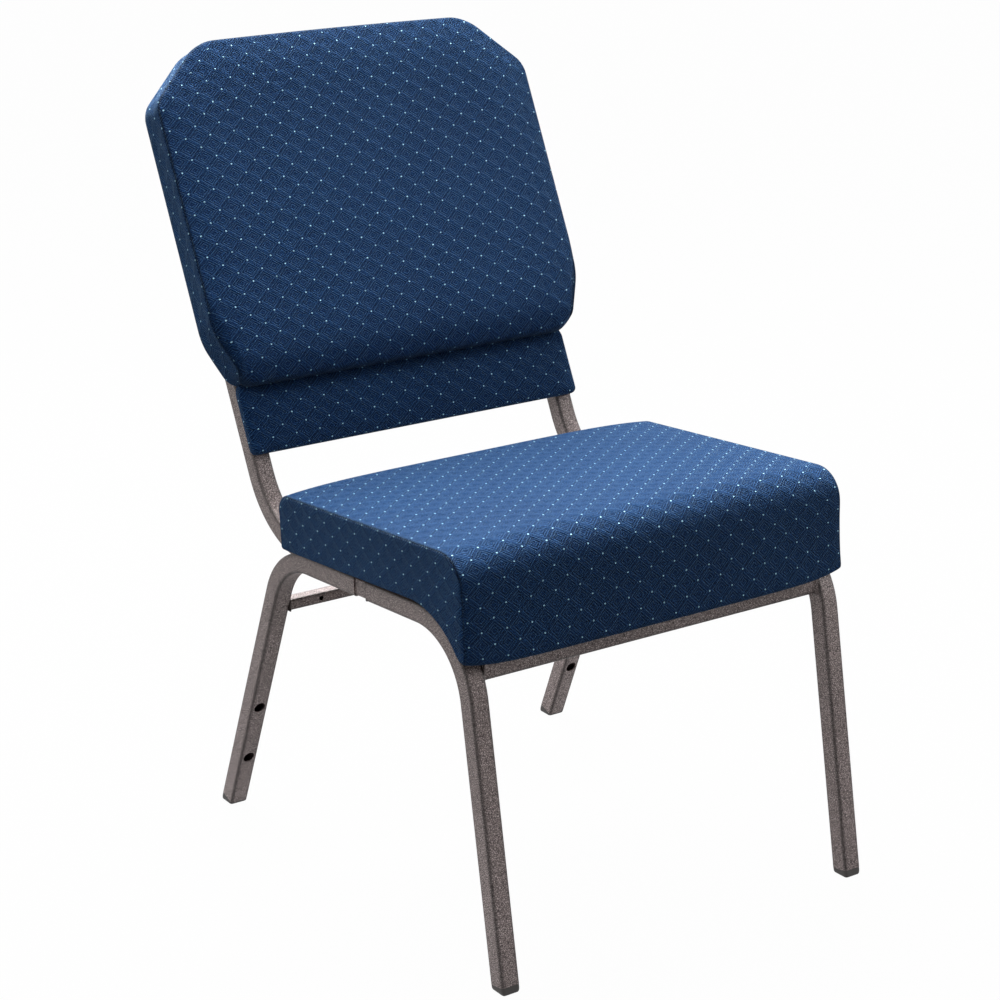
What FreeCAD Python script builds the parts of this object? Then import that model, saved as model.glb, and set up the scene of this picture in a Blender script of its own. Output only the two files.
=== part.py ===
import FreeCAD, Part
import math
import os

# Stacking auditorium chair: two bent tube side frames, two bent back uprights, two cross rails,
# a bent seat board with a waterfall cushion, and a back board with a main pad and a lumbar pad.
# Millimetres and degrees. Seen from the front, +X is to the right; +Y is to the back and +Z up.
# While it is built, Y = 0 is half way between the feet; at the end the origin goes to the bottom centre.

V = FreeCAD.Vector

# Steel tube
TUBE = 22.2
WALL = 1.5
TUBE_CORNER = 3.0
FIT = 0.15

# Side frames
FRAME_PITCH = 467.0
FOOT_BASE = 560.0
LEG_END_HEIGHT = 7.0
FRONT_RAKE = 10.4
REAR_RAKE = 22.0
RAIL_HEIGHT = 361.9
RAIL_TILT = 3.6
LEG_BEND = 87.0
JOINT_AT = -28.5
JOINT_SHOWN = 23.0
SLEEVE_GRIP = 45.0
SLEEVE_WALL = 1.5

# Accessory holes in the front faces of the rear legs, measured up the leg from the tube end
HOLE_RADIUS = 7.0
HOLES_LEFT = (71.5, 150.3)
HOLES_RIGHT = (78.6, 157.4)

# Foot glides
GLIDE_INSET = 0.3
GLIDE_STEM = 18.0
GLIDE_ROUND = 2.0

# Back uprights
UPRIGHT_CORNER = 199.2
UPRIGHT_BEND = 112.0
RECLINE = 25.85
UPRIGHT_FRONT = -62.0
UPRIGHT_TOP = 418.0
LUMBAR_RISE = 95.0
PLUG_HEAD = 3.0
PLUG_STEM = 15.0

# Cross rails
FRONT_RAIL_DROP = 31.4
REAR_RAIL_DEEP = 16.0
REAR_RAIL_TALL = 12.7
REAR_RAIL_WALL = 1.2
REAR_RAIL_CORNER = 2.0
REAR_RAIL_DROP = 78.4
REAR_RAIL_HOLE = 2.75
REAR_RAIL_HOLE_INSET = 41.0

# Seat board and cushion
SEAT_TILT = 4.6
SEAT_REAR = 118.0
SEAT_CLEAR = 0.3
BEND_LEAD = 3.1398
BEND_CLEAR = 5.4
SEAT_SWEEP = 57.0
SEAT_BOARD = 12.0
CUSHION_OVERHANG = 17.5
BOARD_EDGE = 7.0
CUSHION_EDGE = 63.0
CUSHION_CROWN = 7.0
CUSHION_POWER = 6
CUSHION_REAR = 6.0
CUSHION_NOSE = 2.1335
CUSHION_BULGE = 3.0
CUSHION_WRAP = 3.0
REAR_TOP_ROUND = 18.0
REAR_LOW_ROUND = 6.0
FRONT_TOP_ROUND = 36.0
DEPTH_CROWN = 2.0
SOFT_CLEAR = 0.3

# Seat fixings
TAB_REACH = 32.0
TAB_LENGTH = 40.0
TAB_THICK = 3.0
SPACER = 5.0
SPACER_RADIUS = 9.0
FRONT_TAB_BACK = 29.0
REAR_TAB_AT = 74.0

# Screws and tee nuts
SCREW_RADIUS = 3.0
SCREW_HOLE = 3.3
HEAD_RADIUS = 6.0
HEAD_HEIGHT = 3.5
HEAD_ROUND = 1.5
NUT_RADIUS = 4.0
NUT_FLANGE = 9.0
NUT_FLANGE_THICK = 1.2
SCREW_SHORT = 1.0

# Back board and pads, across the back and up its slope from the lumbar pad's lower edge
BACK_BOARD = 9.0
PAD_OVERHANG = 18.5
PAD_LOW = 79.0
PAD_TOP = 471.0
PAD_DEEP = 39.4
PAD_CROWN = 8.0
PAD_EASE = 95.0
PAD_POWER = 4
TOP_BOW = 2.0
TOP_CUT = (69.0, 65.0)
LOW_CUT = (27.0, 63.0)
REAR_CUT = 0.75
TOP_ROUND = 52.0
SIDE_ROUND = 38.0
LOW_SIDE_ROUND = 60.0
LOW_ROUND = 25.0
PAD_DRAW = 1.5
BOARD_MARGIN = 6.0
LUMBAR_OVERHANG = 14.2
LUMBAR_LOW = 0.0
LUMBAR_GAP = 1.0
LUMBAR_DEEP = 11.0
LUMBAR_CROWN = 2.5
LUMBAR_EASE = 28.0
LUMBAR_ROUND = 7.0
PANEL_THICK = 5.0
PANEL_GAP = 2.0
PANEL_ROUND = 12.0
PANEL_LOW = 8.0
BACK_SCREWS = (40.0, 385.0)

HALF_TUBE = TUBE / 2
FRAME_X = FRAME_PITCH / 2
UPRIGHT_X = FRAME_X - TUBE
INNER_X = FRAME_X - HALF_TUBE
FRONT_RAIL_HEIGHT = RAIL_HEIGHT - FRONT_RAIL_DROP
REAR_RAIL_HEIGHT = RAIL_HEIGHT - REAR_RAIL_DROP
CUSHION_HALF = FRAME_X + CUSHION_OVERHANG
SEAT_BOARD_HALF = CUSHION_HALF - BOARD_EDGE
PAD_HALF = FRAME_X + PAD_OVERHANG
LUMBAR_HALF = UPRIGHT_X + LUMBAR_OVERHANG
SIDES = {"left": -1, "right": 1}


def direction(angle):
    """Unit step in the Y-Z plane, with the angle counted from +Y up to +Z."""
    turn = math.radians(angle)
    return V(0, math.cos(turn), math.sin(turn))


def crossing(start, along, other, across):
    """Where two lines in a Y-Z plane meet."""
    gap = other - start
    scale = along.y * across.z - along.z * across.y
    return start + along * ((gap.y * across.z - gap.z * across.y) / scale)


def rail_point(y):
    """Point on the side rails' centre line, in the plane X = 0."""
    return V(0, y, RAIL_HEIGHT - math.tan(math.radians(RAIL_TILT)) * y)


RAIL_BACK = direction(-RAIL_TILT)
FRONT_UP = direction(90 - FRONT_RAKE)
REAR_UP = direction(90 + REAR_RAKE)
BACK_UP = direction(90 - RECLINE)
FRONT_FOOT = V(0, -FOOT_BASE / 2, LEG_END_HEIGHT)
REAR_FOOT = V(0, FOOT_BASE / 2, LEG_END_HEIGHT)
FRONT_CORNER = crossing(FRONT_FOOT, FRONT_UP, rail_point(0), RAIL_BACK)
REAR_CORNER = crossing(REAR_FOOT, REAR_UP, rail_point(0), RAIL_BACK)
BACK_CORNER = rail_point(UPRIGHT_CORNER)

# The seat board bends down round the front legs' own bends
FRONT_REACH = LEG_BEND * math.tan(FRONT_UP.getAngle(RAIL_BACK) / 2)
BEND_START = FRONT_CORNER.y + RAIL_BACK.y * FRONT_REACH
SEAT_FLAT = (SEAT_REAR - BEND_START) / math.cos(math.radians(SEAT_TILT)) - BEND_LEAD
SEAT_BEND = LEG_BEND + HALF_TUBE + BEND_CLEAR
BOARD_NOSE = SEAT_FLAT + (SEAT_BEND + SEAT_BOARD) * math.sin(math.radians(SEAT_SWEEP))
CUSHION_FRONT = BOARD_NOSE + CUSHION_NOSE
FRONT_TAB_AT = SEAT_FLAT - FRONT_TAB_BACK


def bent_path(points, radius):
    """Wire of straight runs through the points, with a tangent arc at each inner point."""
    edges = []
    start = points[0]
    for before, corner, after in zip(points, points[1:], points[2:]):
        back = (before - corner).normalize()
        ahead = (after - corner).normalize()
        half = back.getAngle(ahead) / 2
        reach = radius / math.tan(half)
        middle = (back + ahead).normalize()
        entry = corner + back * reach
        leave = corner + ahead * reach
        crest = corner + middle * (radius / math.sin(half) - radius)
        edges.append(Part.LineSegment(start, entry).toShape())
        edges.append(Part.Arc(entry, crest, leave).toShape())
        start = leave
    edges.append(Part.LineSegment(start, points[-1]).toShape())
    return Part.Wire(edges)


def rounded_wire(corners, radii):
    """Closed wire through the corners, each rounded by its own radius."""
    count = len(corners)
    entries = []
    for i, corner in enumerate(corners):
        back = (corners[i - 1] - corner).normalize()
        ahead = (corners[(i + 1) % count] - corner).normalize()
        half = back.getAngle(ahead) / 2
        reach = radii[i] / math.tan(half)
        crest = corner + (back + ahead).normalize() * (radii[i] / math.sin(half) - radii[i])
        entries.append((corner + back * reach, crest, corner + ahead * reach))
    edges = []
    for i, (entry, crest, leave) in enumerate(entries):
        edges.append(Part.Arc(entry, crest, leave).toShape())
        edges.append(Part.LineSegment(leave, entries[(i + 1) % count][0]).toShape())
    return Part.Wire(edges)


def rectangle(centre, across, up, width, height, radius):
    """Rounded rectangle wire about a centre."""
    steps = ((-1, -1), (1, -1), (1, 1), (-1, 1))
    corners = [centre + across * (i * width / 2) + up * (j * height / 2) for i, j in steps]
    return rounded_wire(corners, [radius] * 4)


def tube(path, start, along, width=TUBE, height=TUBE, wall=WALL, radius=TUBE_CORNER):
    """Open hollow tube along a path of lines and tangent arcs; its width runs along X, or Y on a cross rail."""
    across = V(0, 1, 0) if abs(along.x) > 0.5 else V(1, 0, 0)
    up = along.cross(across).normalize()
    inner_radius = max(radius - wall, radius / 4)
    outer = rectangle(start, across, up, width, height, radius)
    inner = rectangle(start, across, up, width - 2 * wall, height - 2 * wall, inner_radius)
    return path.makePipeShell([outer], True, False).cut(path.makePipeShell([inner], True, False))


def shifted(points, x):
    return [point + V(x, 0, 0) for point in points]


def front_leg(sign):
    points = shifted([FRONT_FOOT, FRONT_CORNER, rail_point(JOINT_AT - JOINT_SHOWN / 2)], sign * FRAME_X)
    return tube(bent_path(points, LEG_BEND), points[0], FRONT_UP)


def leg_front_normal():
    """Outward normal of the rear legs' front faces."""
    return V(0, -REAR_UP.z, REAR_UP.y)


def rear_leg(sign, holes):
    points = shifted([REAR_FOOT, REAR_CORNER, rail_point(JOINT_AT + JOINT_SHOWN / 2)], sign * FRAME_X)
    leg = tube(bent_path(points, LEG_BEND), points[0], REAR_UP)
    for height in holes:
        drill = Part.makeCylinder(HOLE_RADIUS, TUBE, points[0] + REAR_UP * height, leg_front_normal())
        leg = leg.cut(drill)
    return leg


def rail_sleeve(sign):
    """Inner square tube that joins the two halves of a side rail; a short length shows between them."""
    size = TUBE - 2 * WALL - 2 * FIT
    reach = JOINT_SHOWN / 2 + SLEEVE_GRIP
    ends = shifted([rail_point(JOINT_AT - reach), rail_point(JOINT_AT + reach)], sign * FRAME_X)
    path = Part.Wire(Part.LineSegment(ends[0], ends[1]).toShape())
    corner = TUBE_CORNER - WALL
    return tube(path, ends[0], RAIL_BACK, size, size, SLEEVE_WALL, corner)


def back_frame():
    """Placement of the back: X across, -Y towards the sitter, Z up the slope, on the uprights' front faces."""
    normal = V(0, -BACK_UP.z, BACK_UP.y)
    origin = BACK_CORNER + BACK_UP * LUMBAR_RISE + normal * HALF_TUBE
    return FreeCAD.Placement(origin, FreeCAD.Rotation(V(1, 0, 0), -RECLINE))


def back_upright(sign):
    top = BACK_CORNER + BACK_UP * (LUMBAR_RISE + UPRIGHT_TOP)
    points = shifted([rail_point(UPRIGHT_FRONT), BACK_CORNER, top], sign * UPRIGHT_X)
    post = tube(bent_path(points, UPRIGHT_BEND), points[0], RAIL_BACK)
    for height in BACK_SCREWS:
        drill = Part.makeCylinder(SCREW_HOLE, 2 * TUBE, V(sign * UPRIGHT_X, -HALF_TUBE, height), V(0, 1, 0))
        drill.Placement = back_frame().multiply(drill.Placement)
        post = post.cut(drill)
    return post


def upright_plug(sign):
    """Plastic plug in the open top of an upright."""
    bore = TUBE - 2 * WALL - 2 * FIT
    across, deep = V(1, 0, 0), V(0, 1, 0)
    centre = V(sign * UPRIGHT_X, HALF_TUBE, UPRIGHT_TOP)
    head = Part.Face(rectangle(centre, across, deep, TUBE, TUBE, TUBE_CORNER)).extrude(V(0, 0, PLUG_HEAD))
    rim = [edge for edge in head.Edges if edge.BoundBox.ZMin > UPRIGHT_TOP + PLUG_HEAD / 2]
    head = head.makeFillet(PLUG_HEAD / 2, rim)
    stem_face = Part.Face(rectangle(centre, across, deep, bore, bore, TUBE_CORNER - WALL))
    plug = head.fuse(stem_face.extrude(V(0, 0, -PLUG_STEM))).removeSplitter()
    plug.Placement = back_frame()
    return plug


def front_cross_rail():
    """Square tube between the front legs, on the centre line of their bends."""
    reach = rail_bend_y(FRONT_RAIL_HEIGHT)
    start = V(-INNER_X, reach, FRONT_RAIL_HEIGHT)
    path = Part.Wire(Part.LineSegment(start, start + V(2 * INNER_X, 0, 0)).toShape())
    return tube(path, start, V(1, 0, 0))


def rail_bend_y(height):
    """Y of the front bend's centre line at a height."""
    half = (math.pi - FRONT_UP.getAngle(RAIL_BACK)) / 2
    middle = (RAIL_BACK - FRONT_UP).normalize()
    centre = FRONT_CORNER + middle * (LEG_BEND / math.sin(half))
    return centre.y - math.sqrt(LEG_BEND ** 2 - (height - centre.z) ** 2)


def rear_rail_start():
    """Left end of the rear cross rail, whose front face is flush with the rear legs' front faces."""
    on_leg = REAR_FOOT + REAR_UP * ((REAR_RAIL_HEIGHT - LEG_END_HEIGHT) / REAR_UP.z)
    front = on_leg.y - HALF_TUBE / REAR_UP.z
    return V(-INNER_X, front + REAR_RAIL_DEEP / 2, REAR_RAIL_HEIGHT)


def rear_cross_rail():
    start = rear_rail_start()
    path = Part.Wire(Part.LineSegment(start, start + V(2 * INNER_X, 0, 0)).toShape())
    sizes = (REAR_RAIL_DEEP, REAR_RAIL_TALL, REAR_RAIL_WALL, REAR_RAIL_CORNER)
    rail = tube(path, start, V(1, 0, 0), *sizes)
    for sign in SIDES.values():
        middle = V(sign * (INNER_X - REAR_RAIL_HOLE_INSET), start.y, start.z)
        rail = rail.cut(Part.makeCylinder(REAR_RAIL_HOLE, REAR_RAIL_DEEP, middle, V(0, -1, 0)))
    return rail


def foot_glide(sign, foot, up):
    """Plastic glide: a stem in the leg's end and a cap whose foot is cut level with the floor."""
    centre = foot + V(sign * FRAME_X, 0, 0)
    across = V(1, 0, 0)
    deep = up.cross(across).normalize()
    cap_size = TUBE - 2 * GLIDE_INSET
    cap_face = Part.Face(rectangle(centre, across, deep, cap_size, cap_size, TUBE_CORNER))
    cap = cap_face.extrude(up * -TUBE)
    floor = Part.makeBox(4 * TUBE, 4 * TUBE, 2 * TUBE, centre + V(-2 * TUBE, -2 * TUBE, 0))
    floor.translate(V(0, 0, -centre.z))
    cap = cap.common(floor)
    rim = [edge for edge in cap.Edges if edge.BoundBox.ZMax < GLIDE_INSET]
    cap = cap.makeFillet(GLIDE_ROUND, rim)
    bore = TUBE - 2 * WALL - 2 * FIT
    stem = Part.Face(rectangle(centre, across, deep, bore, bore, TUBE_CORNER - WALL)).extrude(up * GLIDE_STEM)
    return cap.fuse(stem).removeSplitter()


def seat_frame():
    """Placement of the seat: X across, -Y to the front, Z up from the board's underside, at its rear edge."""
    top = rail_point(SEAT_REAR) + V(0, 0, HALF_TUBE / math.cos(math.radians(RAIL_TILT)) + SEAT_CLEAR)
    return FreeCAD.Placement(top, FreeCAD.Rotation(V(1, 0, 0), -SEAT_TILT))


def on_seat_bend(x, radius, turn):
    """Point about the axis of the seat board's front bend, with the turn counted from the back up."""
    return V(x, -SEAT_FLAT + radius * math.cos(turn), -SEAT_BEND + radius * math.sin(turn))


def board_wire(x, lift, thick, rear, extra):
    """Side outline of the bent seat board, or of the pocket for it."""
    low, high = SEAT_BEND + lift, SEAT_BEND + lift + thick
    last = math.radians(90 + SEAT_SWEEP) + extra / high
    middle = (math.radians(90) + last) / 2
    points = [V(x, rear, lift), V(x, -SEAT_FLAT, lift), on_seat_bend(x, low, last)]
    points += [on_seat_bend(x, high, last), V(x, -SEAT_FLAT, lift + thick), V(x, rear, lift + thick)]
    edges = [Part.LineSegment(points[0], points[1]).toShape()]
    edges.append(Part.Arc(points[1], on_seat_bend(x, low, middle), points[2]).toShape())
    edges.append(Part.LineSegment(points[2], points[3]).toShape())
    edges.append(Part.Arc(points[3], on_seat_bend(x, high, middle), points[4]).toShape())
    edges.append(Part.LineSegment(points[4], points[5]).toShape())
    edges.append(Part.LineSegment(points[5], points[0]).toShape())
    return Part.Wire(edges)


def seat_fixings():
    """Places of the seat screws in the seat's frame, with the face that carries each one's tab."""
    tab_middle = TAB_REACH / 2
    places = []
    for sign in SIDES.values():
        places.append((V(sign * (INNER_X - tab_middle), -FRONT_TAB_AT, 0), sign * INNER_X))
        inner = UPRIGHT_X - HALF_TUBE
        places.append((V(sign * (inner - tab_middle), -REAR_TAB_AT, 0), sign * inner))
    return places


def seat_board():
    face = Part.Face(board_wire(-SEAT_BOARD_HALF, 0, SEAT_BOARD, 0, 0))
    board = face.extrude(V(2 * SEAT_BOARD_HALF, 0, 0))
    for place, carrier in seat_fixings():
        board = board.cut(nut_hole(place, V(0, 0, 1), SEAT_BOARD))
    board.Placement = seat_frame()
    return board


def cushion_wire(x, crown, bulge):
    """Closed side outline of the cushion at one place across the seat."""
    top = CUSHION_EDGE + crown
    rear = CUSHION_REAR + bulge
    front = -CUSHION_FRONT - bulge
    last = math.radians(90 + SEAT_SWEEP) + CUSHION_WRAP / SEAT_BEND
    lip = on_seat_bend(x, SEAT_BEND, last)
    diagonal = math.sqrt(0.5)
    points = [V(x, -SEAT_FLAT, 0), V(x, rear - REAR_LOW_ROUND, 0), V(x, rear, REAR_LOW_ROUND)]
    points += [V(x, rear, top - REAR_TOP_ROUND), V(x, rear - REAR_TOP_ROUND, top)]
    points += [V(x, front + FRONT_TOP_ROUND, top), V(x, front, top - FRONT_TOP_ROUND)]
    points += [V(x, front, lip.z + CUSHION_WRAP), lip]
    low_crest = V(x, rear, 0) + V(0, -1, 1) * (REAR_LOW_ROUND * (1 - diagonal))
    rear_crest = V(x, rear, top) + V(0, -1, -1) * (REAR_TOP_ROUND * (1 - diagonal))
    front_crest = V(x, front, top) + V(0, 1, -1) * (FRONT_TOP_ROUND * (1 - diagonal))
    top_crest = (points[4] + points[5]) / 2 + V(0, 0, DEPTH_CROWN)
    under_crest = on_seat_bend(x, SEAT_BEND, (math.radians(90) + last) / 2)
    edges = [Part.LineSegment(points[0], points[1]).toShape()]
    edges.append(Part.Arc(points[1], low_crest, points[2]).toShape())
    edges.append(Part.LineSegment(points[2], points[3]).toShape())
    edges.append(Part.Arc(points[3], rear_crest, points[4]).toShape())
    edges.append(Part.Arc(points[4], top_crest, points[5]).toShape())
    edges.append(Part.Arc(points[5], front_crest, points[6]).toShape())
    edges.append(Part.LineSegment(points[6], points[7]).toShape())
    edges.append(Part.LineSegment(points[7], points[8]).toShape())
    edges.append(Part.Arc(points[8], under_crest, points[0]).toShape())
    return Part.Wire(edges)


def seat_cushion():
    """Crowned foam and cover over the board, with flat boxed side panels and a waterfall front."""
    shares = (0.0, 0.35, 0.62, 0.82, 0.93, 1.0)
    wires = []
    for share in [-step for step in reversed(shares[1:])] + list(shares):
        rise = 1 - share ** CUSHION_POWER
        wires.append(cushion_wire(share * CUSHION_HALF, rise * CUSHION_CROWN, rise * CUSHION_BULGE))
    cushion = Part.makeLoft(wires, True, False)
    half = SEAT_BOARD_HALF + SOFT_CLEAR
    pocket_wire = board_wire(-half, -SEAT_BOARD, 2 * SEAT_BOARD + SOFT_CLEAR, SOFT_CLEAR, SOFT_CLEAR)
    pocket = Part.Face(pocket_wire).extrude(V(2 * half, 0, 0))
    cushion = cushion.cut(pocket)
    cushion.Placement = seat_frame()
    return cushion


def nut_hole(place, along, thick):
    """Stepped hole for a tee nut: its barrel from one face and its flange sunk in the other."""
    hole = Part.makeCylinder(NUT_RADIUS + FIT, thick, place, along)
    seat = place + along * (thick - NUT_FLANGE_THICK)
    return hole.fuse(Part.makeCylinder(NUT_FLANGE + FIT, NUT_FLANGE_THICK, seat, along))


def tee_nut(place, along, thick):
    bore = SCREW_RADIUS + FIT
    nut = Part.makeCylinder(NUT_RADIUS, thick, place, along)
    seat = place + along * (thick - NUT_FLANGE_THICK)
    nut = nut.fuse(Part.makeCylinder(NUT_FLANGE, NUT_FLANGE_THICK, seat, along))
    return nut.cut(Part.makeCylinder(bore, thick, place, along)).removeSplitter()


def screw(under_head, along, length):
    """Pan head screw with its head's underside at a point."""
    head = Part.makeCylinder(HEAD_RADIUS, HEAD_HEIGHT, under_head, along * -1)
    crown = under_head - along * HEAD_HEIGHT
    rim = [edge for edge in head.Edges if (edge.CenterOfMass - crown).Length < HEAD_HEIGHT / 2]
    head = head.makeFillet(HEAD_ROUND, rim)
    return head.fuse(Part.makeCylinder(SCREW_RADIUS, length, under_head, along)).removeSplitter()


def placed_group(solids, placement):
    group = Part.makeCompound(solids)
    group.Placement = placement
    return group


def seat_tab(place, carrier):
    """Steel tab welded to the inner face of a rail or upright, with a clear hole for the seat screw."""
    low = V(min(carrier, 2 * place.x - carrier), place.y - TAB_LENGTH / 2, -SPACER - TAB_THICK)
    tab = Part.makeBox(TAB_REACH, TAB_LENGTH, TAB_THICK, low)
    free_x = 2 * place.x - carrier
    rim = [edge for edge in tab.Edges if abs(edge.CenterOfMass.x - free_x) < FIT and edge.Length < SPACER]
    tab = tab.makeFillet(SPACER, rim)
    hole = Part.makeCylinder(SCREW_HOLE, TAB_THICK, place - V(0, 0, SPACER + TAB_THICK))
    return tab.cut(hole)


def seat_tabs():
    return placed_group([seat_tab(place, carrier) for place, carrier in seat_fixings()], seat_frame())


def seat_spacers():
    rings = []
    for place, carrier in seat_fixings():
        ring = Part.makeCylinder(SPACER_RADIUS, SPACER, place - V(0, 0, SPACER))
        rings.append(ring.cut(Part.makeCylinder(SCREW_HOLE, SPACER, place - V(0, 0, SPACER))))
    return placed_group(rings, seat_frame())


def seat_screws():
    length = TAB_THICK + SPACER + SEAT_BOARD - SCREW_SHORT
    drop = V(0, 0, SPACER + TAB_THICK)
    solids = [screw(place - drop, V(0, 0, 1), length) for place, carrier in seat_fixings()]
    return placed_group(solids, seat_frame())


def seat_tee_nuts():
    solids = [tee_nut(place, V(0, 0, 1), SEAT_BOARD) for place, carrier in seat_fixings()]
    return placed_group(solids, seat_frame())


def pad_wire(inset, deep, cut=1.0):
    """Eight sided back outline with rounded corners and a bowed top, drawn in all round by an inset."""
    half = PAD_HALF - inset
    top = PAD_TOP - inset
    bottom = PAD_LOW + inset
    bevel = inset * (math.sqrt(2) - 1)
    top_x, top_z = TOP_CUT[0] - bevel, TOP_CUT[1] - bevel
    low_x = cut * (LOW_CUT[0] - inset * LOW_CUT[0] / LOW_CUT[1])
    y = -deep
    right = [V(half - low_x, y, bottom), V(half, y, bottom + cut * LOW_CUT[1]), V(half, y, top - top_z)]
    right.append(V(half - top_x, y, top))
    left = [V(-p.x, p.y, p.z) for p in reversed(right)]
    bow_reach = half - top_x - TOP_ROUND
    radii = [LOW_ROUND, LOW_SIDE_ROUND, SIDE_ROUND, TOP_ROUND]
    corners = right + [V(0, y, top + TOP_BOW)] + left
    return rounded_wire(corners, radii + [bow_reach * (half - top_x) / TOP_BOW] + radii[::-1])


def crown_levels(ease, deep, height, power):
    """Insets and depths of a sewn front that swells fast from its seam and is level in the middle."""
    shares = (1.0, 0.92, 0.8, 0.62, 0.35, 0.0)
    return [(ease * (1 - share), deep + height * (1 - share ** power)) for share in shares]


def back_screw_places():
    return [V(sign * UPRIGHT_X, 0, height) for sign in SIDES.values() for height in BACK_SCREWS]


def board_solid(grow):
    """Back board outline: the main pad's eight sides less a margin, with a tongue down behind the lumbar pad."""
    margin = BOARD_MARGIN - grow
    main = Part.Face(pad_wire(margin, -grow)).extrude(V(0, -BACK_BOARD - 2 * grow, 0))
    low = V(-LUMBAR_HALF + margin, -BACK_BOARD - grow, LUMBAR_LOW + margin)
    tongue_height = PAD_LOW + LOW_CUT[1] - low.z
    tongue = Part.makeBox(2 * (LUMBAR_HALF - margin), BACK_BOARD + 2 * grow, tongue_height, low)
    return main.fuse(tongue).removeSplitter()


def back_board():
    board = board_solid(0)
    for place in back_screw_places():
        board = board.cut(nut_hole(place, V(0, -1, 0), BACK_BOARD))
    board.Placement = back_frame()
    return board


def back_pad():
    """Main back pad: a boxed band with slightly drawn-in sides, and a crowned front sewn on round a seam."""
    levels = [(PAD_DRAW / 2, SOFT_CLEAR, REAR_CUT), (0, PAD_DEEP / 3, (1 + REAR_CUT) / 2)]
    levels += [(PAD_DRAW, 2 * PAD_DEEP / 3, 1.0), (0, PAD_DEEP, 1.0)]
    band = Part.makeLoft([pad_wire(inset, deep, cut) for inset, deep, cut in levels], True, False)
    crown = crown_levels(PAD_EASE, PAD_DEEP, PAD_CROWN, PAD_POWER)
    front = Part.makeLoft([pad_wire(inset, deep) for inset, deep in crown], True, False)
    pad = band.fuse(front).cut(board_solid(SOFT_CLEAR))
    pad.Placement = back_frame()
    return pad


def lumbar_wire(inset, deep):
    centre = V(0, -deep, (LUMBAR_LOW + PAD_LOW - LUMBAR_GAP) / 2)
    width = 2 * (LUMBAR_HALF - inset)
    height = PAD_LOW - LUMBAR_GAP - LUMBAR_LOW - 2 * inset
    return rectangle(centre, V(1, 0, 0), V(0, 0, 1), width, height, LUMBAR_ROUND)


def lumbar_pad():
    """Thin lumbar pad below the main pad, softly crowned."""
    levels = ((0, SOFT_CLEAR), (0, LUMBAR_DEEP))
    band = Part.makeLoft([lumbar_wire(inset, deep) for inset, deep in levels], True, True)
    crown = crown_levels(LUMBAR_EASE, LUMBAR_DEEP, LUMBAR_CROWN, PAD_POWER)
    front = Part.makeLoft([lumbar_wire(inset, deep) for inset, deep in crown], True, False)
    pad = band.fuse(front).cut(board_solid(SOFT_CLEAR))
    pad.Placement = back_frame()
    return pad


def back_panel():
    """Fabric covered rear panel between the uprights, against the back of the board."""
    half = UPRIGHT_X - HALF_TUBE - PANEL_GAP
    centre = V(0, 0, (PANEL_LOW + UPRIGHT_TOP) / 2)
    height = UPRIGHT_TOP - PANEL_LOW
    outline = rectangle(centre, V(1, 0, 0), V(0, 0, 1), 2 * half, height, PANEL_ROUND)
    panel = Part.Face(outline).extrude(V(0, PANEL_THICK, 0))
    rim = [edge for edge in panel.Edges if edge.BoundBox.YMin > PANEL_THICK / 2]
    panel = panel.makeFillet(PANEL_THICK / 2, rim)
    panel.Placement = back_frame()
    return panel


def back_screws():
    length = TUBE + BACK_BOARD - SCREW_SHORT
    solids = [screw(place + V(0, TUBE, 0), V(0, -1, 0), length) for place in back_screw_places()]
    return placed_group(solids, back_frame())


def back_tee_nuts():
    solids = [tee_nut(place, V(0, -1, 0), BACK_BOARD) for place in back_screw_places()]
    return placed_group(solids, back_frame())


def build():
    parts = {}
    for side, sign in SIDES.items():
        parts["front_leg_" + side] = front_leg(sign)
        parts["rear_leg_" + side] = rear_leg(sign, HOLES_LEFT if sign < 0 else HOLES_RIGHT)
        parts["rail_sleeve_" + side] = rail_sleeve(sign)
        parts["back_upright_" + side] = back_upright(sign)
        parts["upright_plug_" + side] = upright_plug(sign)
        parts["front_glide_" + side] = foot_glide(sign, FRONT_FOOT, FRONT_UP)
        parts["rear_glide_" + side] = foot_glide(sign, REAR_FOOT, REAR_UP)
    makers = (front_cross_rail, rear_cross_rail, seat_tabs, seat_spacers, seat_screws, seat_tee_nuts, seat_board,
              seat_cushion, back_board, back_pad, lumbar_pad, back_panel, back_screws, back_tee_nuts)
    for maker in makers:
        parts[maker.__name__] = maker()
    return parts


def main():
    parts = build()
    box = FreeCAD.BoundBox()
    for shape in parts.values():
        box.add(shape.optimalBoundingBox(False, False))
    os.makedirs("parts", exist_ok=True)
    for name, shape in parts.items():
        shape.translate(V(0, -box.Center.y, 0))
        shape.exportStep("parts/" + name + ".step")


main()
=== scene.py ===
import math

import bmesh
import bpy
import numpy as np
from mathutils import Matrix, Vector, noise


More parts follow.
